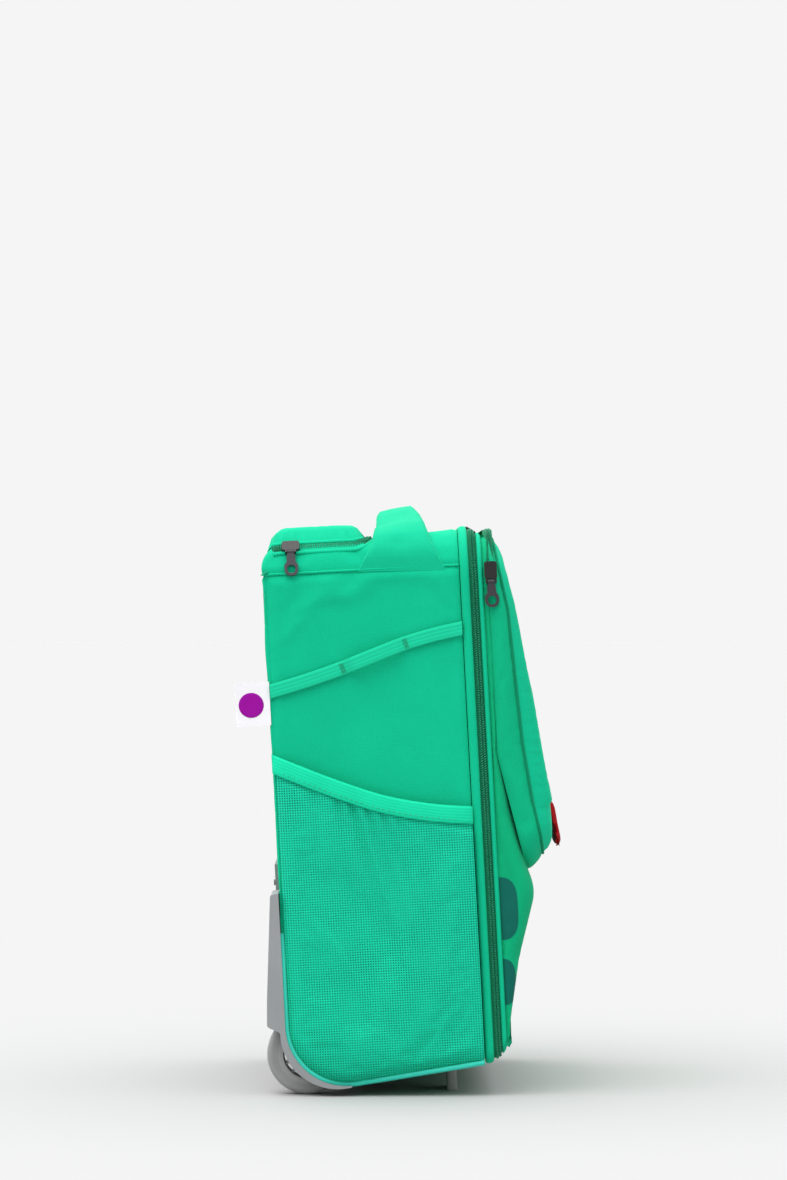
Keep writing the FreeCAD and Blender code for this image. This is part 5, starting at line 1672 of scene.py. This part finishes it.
@dataclass
class SidePocket(Section):
    """Mesh pocket with its piped edge and elastic binding."""

    line: tuple = ((-17.0, 201.4), (31.9, 179.7), (58.7, 169.5), (92.3, 161.6), (124.0, 157.6))
    lift: float = 5.6
    width: float = 12.0

    def build(self) -> None:
        """Sews both sides."""
        for side in Side:
            self.mesh(side)
            self.piping(side)
            self.binding(side)

    def edge(self, ahead: np.ndarray) -> np.ndarray:
        """Height of the binding's middle."""
        smooth = faired(np.array(self.line), 2.0)
        return np.interp(ahead, smooth[:, 0], smooth[:, 1])

    def sunk(self, ahead: np.ndarray) -> np.ndarray:
        """How far the binding is drawn in towards the seams at its two ends."""
        shape = self.shape
        back = np.exp(-np.clip((ahead - shape.back) / 9, 0, None))
        return 5.0 * (back + np.exp(-np.clip((shape.side_seam - ahead) / 6, 0, None)))

    def folds(self, ahead: np.ndarray, up: np.ndarray) -> np.ndarray:
        """The gathers that hang from the elastic, and a slight unevenness."""
        below = np.clip((self.edge(ahead) - up) / 100, 0, 1.6)
        total = np.zeros(np.shape(ahead))
        for start, slant, deep, wide in ((29, 15, 2.6, 2.8), (38, 24, 4.2, 3.0), (48, 30, 3.6, 2.8),
                                         (58, 33, 2.8, 3.0), (68, 34, 2.0, 3.4), (14, 5, 1.2, 4.5),
                                         (90, 12, 0.8, 6.0)):
            middle = start + slant * below
            fold = np.exp(-((ahead - middle) / (wide + 3 * below)) ** 2)
            total = total - deep * fold * np.exp(-0.9 * below)
        return total + 0.35 * np.sin(ahead / 11 + up / 29) * np.sin(up / 17)

    def mesh(self, side: Side) -> None:
        """The mesh itself, loose at its top and sewn down round its edge."""
        shape = self.shape
        low = shape.limits_at(shape.side_seam - 0.4)[0]
        edge = shape.stretch((shape.back, 197.0), (shape.side_seam - 0.4, low), 3.0, gap=2.6)
        rim = faired(np.array(self.line), 3.0)[::-1]
        rim = rim[(rim[:, 0] < shape.side_seam - 1.0) & (rim[:, 0] > edge[0, 0] + 0.5)]
        edge = edge[edge[:, 1] < self.edge(edge[:, 0]) - 1.0]
        last = np.array([[shape.side_seam - 0.4, low + 2.6]])
        corner = np.array([[shape.side_seam - 0.4, float(self.edge(np.array(shape.side_seam))) - 0.5]])
        sewn = np.vstack([edge[edge[:, 0] < shape.side_seam - 2.0], last])
        outline = np.vstack([sewn, corner, rim - np.array([0, 0.5])])
        cut = Cut(outline, 2.3)
        ahead, up = cut.flat.T
        inward = distance_to(cut.flat, sewn, closed=False)
        seam_side = np.clip((shape.side_seam - ahead) / 9, 0, 1)
        rise = (1 - np.exp(-inward / 4.5)) * np.sqrt(1 - (1 - seam_side) ** 2 * 0.6)
        across = shape.half_at(up) + 0.7 + self.lift * rise + self.folds(ahead, up) * ease(inward / 20)
        under = shape.half + 5.0 - self.sunk(ahead) + 7 * ease((self.edge(ahead) - up - 7) / 12)
        across = np.minimum(across, under)
        points = np.stack([side.value * across, ahead, up], 1)
        faces = turned_out(points, cut.faces, shape.middle)
        free = (inward > 4) & (up < self.edge(ahead) - 8) & (ahead < shape.side_seam - 4)
        points = settled_sheet(self.shop, points, faces, free, 0.25, 1.5, 0.006)
        solid, all_faces, _ = thickened(points, faces, 0.9)
        sheet = self.shop.mesh(f"side_pocket_mesh_{side.label}", solid, all_faces,
                                     self.finish.mesh)
        self.bench.dress(sheet, "case", "mesh", [f"mesh_pocket_{side.label}"])

    def piping(self, side: Side) -> None:
        """The turquoise bias binding over the pocket's sewn edge."""
        shape = self.shape
        low = shape.limits_at(shape.side_seam)[0]
        path = shape.stretch((shape.back, 84.0), (shape.side_seam - 0.3, low), 1.6, gap=0.9)
        across = shape.half_at(path[:, 1]) + 1.3
        taper = ease(measured(path) / 26)
        line = np.stack([side.value * (across - 1.8 * (1 - taper)), path[:, 0], path[:, 1]], 1)
        cord = self.shop.sweep(f"side_pocket_piping_{side.label}", line, side.facing(len(line)),
                                     ring_section(1.75, 12), self.finish.piping)
        self.bench.dress(cord, "case", "turquoise_piping", [f"pocket_piping_{side.label}"])

    def binding(self, side: Side) -> None:
        """The elastic along the pocket's top, with a row of stitches near its lower edge."""
        shape = self.shape
        line = faired(np.array(self.line), 1.8)
        share = measured(line) / measured(line)[-1]
        sunk = self.sunk(line[:, 0])
        wave = 0.5 * np.sin(share * 37) * ease(share * 5) * ease((1 - share) * 5)
        across = shape.half + 6.6 - sunk + wave * 0.5
        path = np.stack([side.value * across, line[:, 0], line[:, 1]], 1)
        out = side.facing(len(path))
        band = self.shop.sweep(f"side_pocket_binding_{side.label}", path - out * 0.9, out,
                                     band_section(self.width, 1.6, 0.35, 10), self.finish.binding)
        self.bench.trim(band, shape.back + 0.3, shape.side_seam + 0.2)
        self.bench.dress(band, "case", "webbing", [f"pocket_binding_{side.label}"])
        row = path - out * 0.9 + out * 1.72 + np.array([0.0, -0.8, -self.width / 2 + 2.6])
        sewn = self.bench.stitches(f"side_pocket_binding_stitches_{side.label}", row[6:-6], out[6:-6])
        self.bench.dress(sewn, "case", "webbing")


@dataclass
class SideStrap(Section):
    """A webbing strap over the upper side, raised as a loop in its middle."""

    line: tuple = ((-15.0, 248.4), (14.0, 255.6), (38.3, 262.8), (60.0, 270.2), (81.4, 277.2),
                   (101.0, 282.0), (123.0, 285.8))
    tacks: tuple[float, float] = (38.3, 81.4)
    width: float = 9.6
    rise: float = 4.6

    def build(self) -> None:
        """Sews both straps down."""
        shape = self.shape
        for side in Side:
            line = faired(np.array(self.line), 1.4)
            first, last = self.tacks
            lift = ease((line[:, 0] - first - 1) / 7) * ease((last - 1 - line[:, 0]) / 7) * self.rise
            across = shape.half + 1.0 + lift
            across = across - 1.8 * ease(1 - measured(line) / 4)
            path = np.stack([side.value * across, line[:, 0], line[:, 1]], 1)
            out = side.facing(len(path))
            strap = self.shop.sweep(f"side_strap_webbing_{side.label}", path, out,
                                          band_section(self.width, 1.4, 0.0, 10), self.finish.webbing)
            self.bench.trim(strap, shape.back + 1.6, shape.side_seam - 0.3)
            self.bench.dress(strap, "case", "webbing", [f"side_strap_{side.label}"])
            tacks = []
            for place in self.tacks:
                near = int(np.argmin(np.abs(line[:, 0] - place)))
                along = line[near + 1] - line[near - 1]
                along /= np.linalg.norm(along)
                square = np.array([-along[1], along[0]])
                for shift in (-1.1, 0.0, 1.1):
                    ends = np.linspace(-self.width / 2 + 0.8, self.width / 2 - 0.8, 30)
                    flat = line[near] + along * shift + ends[:, None] * square
                    level = np.full(30, side.value * (shape.half + 2.55))
                    bar = np.column_stack([level, flat])
                    tacks.append(self.bench.stitches("bartack", bar, out[:30], 1.2, 0.25, 0.8))
            tack = self.shop.joined(f"side_strap_bartacks_{side.label}", tacks)
            self.bench.dress(tack, "case", "webbing")


@dataclass
class Label(Section):
    """The woven tag in the left back seam, with a plain round patch on each face."""

    ahead: tuple[float, float] = (-36.0, -12.6)
    up: tuple[float, float] = (226.2, 255.8)
    radius: float = 8.6

    def build(self) -> None:
        """Makes the folded tag and its two patches."""
        shape = self.shape
        centre = -shape.half + 0.8
        ups = np.linspace(*self.up, 22)
        turn = np.linspace(0, math.pi, 9)
        back, front = self.ahead
        outer = np.linspace(front, back + 0.7, 18)
        near = np.stack([np.full(18, -0.55), outer], 1)
        fold = np.stack([-0.55 * np.cos(turn[1:-1]), back + 0.7 - 0.7 * np.sin(turn[1:-1])], 1)
        plan = np.vstack([near, fold, near[::-1] * MIRROR[:2]])
        curl = 1.6 * ((front - plan[:, 1]) / (front - back)) ** 2
        wave = 0.35 * np.sin(ups / 6.0)[:, None] * ((front - plan[:, 1]) / (front - back))[None, :]
        across = centre + plan[None, :, 0] - curl[None, :] + wave
        points = np.stack([across, np.repeat(plan[None, :, 1], 22, 0),
                           np.repeat(ups[:, None], len(plan), 1)], -1).reshape(-1, 3)
        faces = turned_out(points, grid_faces(22, len(plan)), (centre, -20.0, 241.0))
        solid, all_faces, _ = thickened(points, faces, 0.3)
        tag = self.shop.mesh("back_seam_tag", solid, all_faces, self.finish.label)
        self.bench.dress(tag, "case", "label_cloth", ["label_tag"])
        patches = []
        for sign in (-1, 1):
            cut = Cut(ring_section(self.radius, 40), 1.2)
            ahead = cut.flat[:, 0] + sum(self.ahead) / 2 - 1.2
            up = cut.flat[:, 1] + sum(self.up) / 2 - 0.6
            curl = 1.6 * ((front - ahead) / (front - back)) ** 2
            wave = 0.35 * np.sin(up / 6.0) * (front - ahead) / (front - back)
            raised = 0.62 + 0.4 * np.sqrt(1 - (1 - np.clip(cut.edge / 1.2, 0, 1)) ** 2)
            disc = np.stack([centre + sign * raised - curl + wave, ahead, up], 1)
            made = turned_out(disc, cut.faces, (centre - sign * 20, -20.0, 241.0))
            solid, all_faces, _ = thickened(disc, made, 0.4)
            patches.append(self.shop.mesh("patch", solid, all_faces, self.finish.patch))
        patch = self.shop.joined("back_seam_tag_patches", patches)
        self.bench.dress(patch, "case", "label_patch", ["label_patches"])


# ---- Top -------------------------------------------------------------------------


@dataclass
class CarryHandle(Section):
    """The padded strap over the top, wide at its sewn ends and narrow where it is held."""

    heights: tuple = (331.0, 348.5, 365.5, 371.0)
    backs: tuple = (51.4, 61.6, 66.2, 67.4)
    fronts: tuple = (112.4, 103.4, 96.8, 93.4)
    crown: float = 371.4
    tilt: float = 3.4
    thick: float = 4.4

    def stations(self) -> np.ndarray:
        """The strap's middle line from right to left, as across and up."""
        shape = self.shape
        right = []
        rises = ((10.0, -1.6), (16.0, -1.3), (24.0, -0.9), (38.0, -0.5), (52.0, 0.0), (66.0, 0.6))
        for angle, proud in rises:
            turn, radius = math.radians(angle), shape.shoulder_radius + proud
            right.append((shape.shoulder_across + radius * math.cos(turn),
                          shape.shoulder_up + radius * math.sin(turn)))
        start, high = right[-1][1], self.crown - self.thick
        for place, share in ((0.78, 0.25), (0.55, 0.62), (0.32, 0.88), (0.12, 0.99), (0.0, 1.0)):
            right.append((shape.shoulder_across * place, start + (high - start) * share))
        return faired(np.array(right + [(-x, up) for x, up in right[-2::-1]]), 4.0)

    def build(self) -> None:
        """Makes the strap and lets its padding fill it."""
        line = self.stations()
        across, up = line.T
        outer = up + self.thick
        back, front = np.interp(outer, self.heights, self.backs), np.interp(outer, self.heights, self.fronts)
        path = np.stack([across, (back + front) / 2, up], 1)
        tangent = np.gradient(line, axis=0)
        out = np.stack([tangent[:, 1], np.zeros(len(path)), -tangent[:, 0]], 1)
        out = unit(out * np.sign(out[:, 2:3] + TINY))
        ends = ease(np.minimum(measured(line), measured(line)[-1] - measured(line)) / 16)
        sections = np.array([band_section(wide, 1.2 + (self.thick - 1.2) * full, 0.8 * full, 14)
                             for wide, full in zip(front - back, ends)])
        handle = self.shop.sweep("carry_handle_padded", path, out, sections, self.finish.handle)
        placed = self.shop.points_of(handle)
        raised = ease((placed[:, 2] - 350) / 14)
        placed[:, 2] -= self.tilt * raised * np.clip((93.0 - placed[:, 1]) / 26, -0.1, 1.1)
        self.shop.move_points(handle, placed)
        sewn = np.repeat(ends < 0.9, sections.shape[1])
        settle(handle, sewn, 1.5, 1.4, 0.006)
        self.shop.lay_threads(handle)
        self.bench.dress(handle, "case", "jade_cloth", ["carry_handle"], 0.6)


@dataclass
class HandleFlap(Section):
    """The padded flap over the grip, with its zip round three sides."""

    half: float = 129.0
    back: float = -9.9
    front: float = 57.6
    rise: float = 8.6
    zip_half: float = 132.2
    zip_back: float = -30.0
    zip_front: float = 60.2

    def build(self) -> None:
        """Makes the flap and its zip."""
        self.flap()
        self.zip()

    def base(self, across: np.ndarray, ahead: np.ndarray) -> np.ndarray:
        """The top panel's surface under the flap."""
        shape = self.shape
        places = np.linspace(shape.back + 0.2, 118.0, 120)
        tops = np.array([shape.limits_at(place)[1] for place in places])
        return shape.roof(across, np.interp(ahead, places, tops))

    def flap(self) -> None:
        """The flap, a closed pad that swells between its edges."""
        corners = [(-self.half, self.back, 10.0), (self.half, self.back, 10.0),
                   (self.half, self.front, 12.0), (-self.half, self.front, 12.0)]
        cut = Cut(rounded(corners), 4.0)
        across, ahead = cut.flat.T
        base = self.base(across, ahead) + 0.9
        swell = np.sqrt(1 - (1 - np.clip(cut.edge / 11.5, 0, 1)) ** 2)
        upper = np.stack([across, ahead, base + 0.9 + (self.rise - 0.9) * swell], 1)
        lower = np.stack([across, ahead, base + 0.1], 1)
        upper[:, 2] = np.where(cut.edge <= 0, base + 0.6, upper[:, 2])
        pad = self.shop.pillow("handle_flap_padded", cut, upper, lower, (0.0, 24.0, 200.0),
                                     self.finish.flap)
        sewn = np.concatenate([cut.edge < 1.0, np.ones(len(cut.flat), bool)])
        settle(pad, sewn, 1.0, 1.6, 0.012)
        self.shop.lay_threads(pad)
        self.bench.stretch_over(pad, ("case", "handle_flap"), (0.0, self.back - 1.0, 345.0),
                                (0.0, self.back + 6.0, 352.0), "jade_cloth", ["handle_flap"], 0.6)

    def zip(self) -> None:
        """The U-shaped zip, low on both shoulders and across in front of the flap."""
        shape = self.shape
        half, back, front = self.zip_half, self.zip_back, self.zip_front
        ring = rounded([(-half, back, 0.0), (half, back, 0.0), (half, front, 11.0),
                        (-half, front, 11.0)], 1.0)
        start = int(np.argmin(np.abs(ring[:, 0] - half) + np.abs(ring[:, 1] - back)))
        plan = resampled(np.roll(ring, -start, 0), 1.6)
        plan = plan[plan[:, 1] > -6.0]
        up = self.base(plan[:, 0], plan[:, 1])
        path = np.stack([plan[:, 0], plan[:, 1], up], 1)
        beyond = np.sign(plan[:, 0]) * np.clip(np.abs(plan[:, 0]) - shape.shoulder_across, 0, None)
        out = np.stack([beyond, np.zeros(len(plan)), np.sqrt(np.maximum(
            shape.shoulder_radius ** 2 - beyond ** 2, 1.0))], 1)
        out = unit(out)
        tape = self.shop.sweep("flap_zip_tape", path + out * 0.2, out, band_section(9.4, 0.6),
                                     self.finish.tape)
        self.bench.dress(tape, "case", "gusset_cloth")
        for name, offset, body in (("outer", 0.95, "case"), ("inner", -0.95, "handle_flap")):
            row = self.bench.coil(f"flap_zip_coil_{name}", path + out * 1.3, out, offset, radius=0.8)
            self.bench.dress(row, body, "zip_coil", ["flap_zip_coil"] if name == "outer" else ())
        side = np.cross(unit(np.gradient(path, axis=0)), out)
        for name, offset, body in (("outer", 4.9, "case"), ("inner", -4.3, "handle_flap")):
            cord = self.shop.sweep(f"flap_zip_fold_{name}", path + side * offset + out * 0.5, out,
                                         ring_section(1.5, 10, 0.75), self.finish.body)
            self.bench.dress(cord, body, "jade_cloth")


# ---- Inside and hard parts -------------------------------------------------------


@dataclass
class PackingStraps(Section):
    """Two webbing straps inside, on the board."""

    def build(self) -> None:
        """Lays both straps flat on the board."""
        low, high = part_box("packing_straps")
        corners = self.shop.frame.case(np.array([tuple(low), tuple(high)]))
        half = float(corners[1, 0])
        straps = []
        for middle in (corners[:, 2].min() + 12.0, corners[:, 2].max() - 12.0):
            across = np.linspace(-half + 1, half - 1, 70)
            lift = 0.5 * np.abs(np.sin(across / 30))
            path = np.stack([across, 28.2 + lift, np.full(70, middle)], 1)
            out = np.repeat(np.array([[0.0, 1.0, 0.0]]), 70, 0)
            straps.append(self.shop.sweep("strap", path, out, band_section(20.0, 1.3),
                                                self.finish.packing))
        strap = self.shop.joined("packing_strap_webbing", straps)
        self.bench.dress(strap, "case", "black_webbing", ["packing_straps"])


@dataclass
class HardParts:
    """Finishes for the moulded, turned and drawn parts that keep their own shape."""

    finish: Finishes

    def build(self, nodes: dict[str, bpy.types.Object]) -> None:
        """Gives every hard node its finish.

        Args:
            nodes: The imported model's nodes by name.
        """
        finish = self.finish
        table = {
            "corner_guard_": finish.grey, "kick_plate": finish.kick, "skids": finish.skid,
            "front_feet": finish.foot, "tyre_": finish.tread, "wheel_hub_": finish.hub,
            "wheel_bush_": finish.bush, "wheel_axles": finish.steel, "plate_screws": finish.steel,
            "outer_tube_": finish.tube, "middle_tube_": finish.tube, "inner_tube_": finish.tube,
            "handle_yoke": finish.grip, "handle_grip": finish.grip, "grip_button": finish.kick,
            "handle_tray": finish.tray, "tube_sockets": finish.tray, "back_board": finish.board,
            "lid_board": finish.board, "main_slider": finish.slider, "pocket_slider": finish.slider,
            "flap_slider": finish.slider, "main_pull": finish.pull, "pocket_pull": finish.pull,
            "flap_pull": finish.pull,
        }
        for name, node in nodes.items():
            for start, material in table.items():
                if name.startswith(start):
                    node.data.materials.clear()
                    node.data.materials.append(material)
                    LOG.info("%s: %s", name, material.name)


# ---- Studio ----------------------------------------------------------------------


@dataclass
class Studio:
    """Camera, floor and light."""

    distance: float = 3.5
    near_side: float = -0.146
    view_height: float = 0.3449
    view_ahead: float = 0.0034
    frame_height: float = 0.8036
    backdrop: str = "f5f5f5"
    key: float = 0.9
    aim: tuple[float, float, float] = (0.5, -0.35, -1.0)
    overhead: float = 3.4
    right: float = 0.6
    near: float = 0.72
    floor_share: float = 0.440

    def camera(self) -> None:
        """A level camera on the case's left, far enough back to flatten it."""
        made = bpy.data.cameras.new("camera")
        made.lens = made.sensor_width * self.distance / self.frame_height
        view = bpy.data.objects.new("camera", made)
        view.location = (self.near_side - self.distance, self.view_ahead, self.view_height)
        view.rotation_euler = (math.radians(90), 0.0, math.radians(-90))
        bpy.context.scene.collection.objects.link(view)
        bpy.context.scene.camera = view

    def light(self) -> None:
        """A pale room, brighter overhead and dimmer to the right, and one wide soft light."""
        world = bpy.data.worlds.new("studio")
        world.use_nodes = True
        tree = world.node_tree
        tree.nodes.clear()
        way = add(tree, "TexCoord")
        parts = add(tree, "SeparateXYZ", links={0: way.outputs["Generated"]})
        smooth = {"interpolation_type": "SMOOTHSTEP"}
        above = add(tree, "MapRange", {**smooth, "From Min": 0.3, "From Max": 0.95, "To Min": 1.0,
                                       "To Max": self.overhead}, {"Value": parts.outputs[2]})
        right = add(tree, "MapRange", {**smooth, "From Min": -0.9, "From Max": -0.2, "To Min": self.right,
                                       "To Max": 1.0}, {"Value": parts.outputs[1]})
        near = add(tree, "MapRange", {**smooth, "From Min": -0.7, "From Max": 0.5, "To Min": self.near,
                                      "To Max": 1.0}, {"Value": parts.outputs[0]})
        level = add(tree, "Math", {"operation": "MULTIPLY"}, {0: above.outputs[0], 1: right.outputs[0]})
        level = add(tree, "Math", {"operation": "MULTIPLY"}, {0: level.outputs[0], 1: near.outputs[0]})
        room = add(tree, "Background", {"Color": srgb(self.backdrop)}, {"Strength": level.outputs[0]})
        add(tree, "OutputWorld", links={"Surface": room.outputs[0]})
        bpy.context.scene.world = world
        bpy.context.scene.view_settings.view_transform = "Standard"
        sun = bpy.data.lights.new("key", "SUN")
        sun.energy = self.key
        sun.angle = math.radians(45)
        lamp = bpy.data.objects.new("key", sun)
        lamp.rotation_euler = Vector(self.aim).to_track_quat("-Z", "Y").to_euler()
        bpy.context.scene.collection.objects.link(lamp)

    def floor(self) -> None:
        """A wide pale floor, matched to the room so that no edge shows."""
        share = self.floor_share
        material = bpy.data.materials.new("studio_floor_matt_paint")
        material.use_nodes = True
        tree = material.node_tree
        tree.nodes.clear()
        paint = add(tree, "BsdfDiffuse", {"Color": (share, share, share, 1.0), "Roughness": 0.0})
        add(tree, "OutputMaterial", links={"Surface": paint.outputs[0]})
        data = bpy.data.meshes.new("floor")
        places = np.linspace(-30, 30, 9)
        points = [(float(x), float(y), -0.0002) for x in places for y in places]
        data.from_pydata(points, [], grid_faces(9, 9))
        data.materials.append(material)
        made = bpy.data.objects.new("floor", data)
        bpy.context.scene.collection.objects.link(made)


def main() -> None:
    """Builds the case in order."""
    logging.basicConfig(level=logging.INFO, format="%(message)s")
    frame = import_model()
    studio = Studio()
    studio.camera()
    low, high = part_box("wheel_axles")
    shop = Workshop(CaseFrame(axle=(low + high) / 2), CaseShape())
    bench = Bench(shop, Finishes())
    for section in (BodyPanels, MainZip, Lid, FrontPocket, SidePocket, SideStrap, Label, CarryHandle,
                    HandleFlap, PackingStraps):
        section(bench).build()
    HardParts(bench.finish).build(frame["nodes"])
    studio.light()
    studio.floor()
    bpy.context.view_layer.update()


if __name__ == "__main__":
    main()
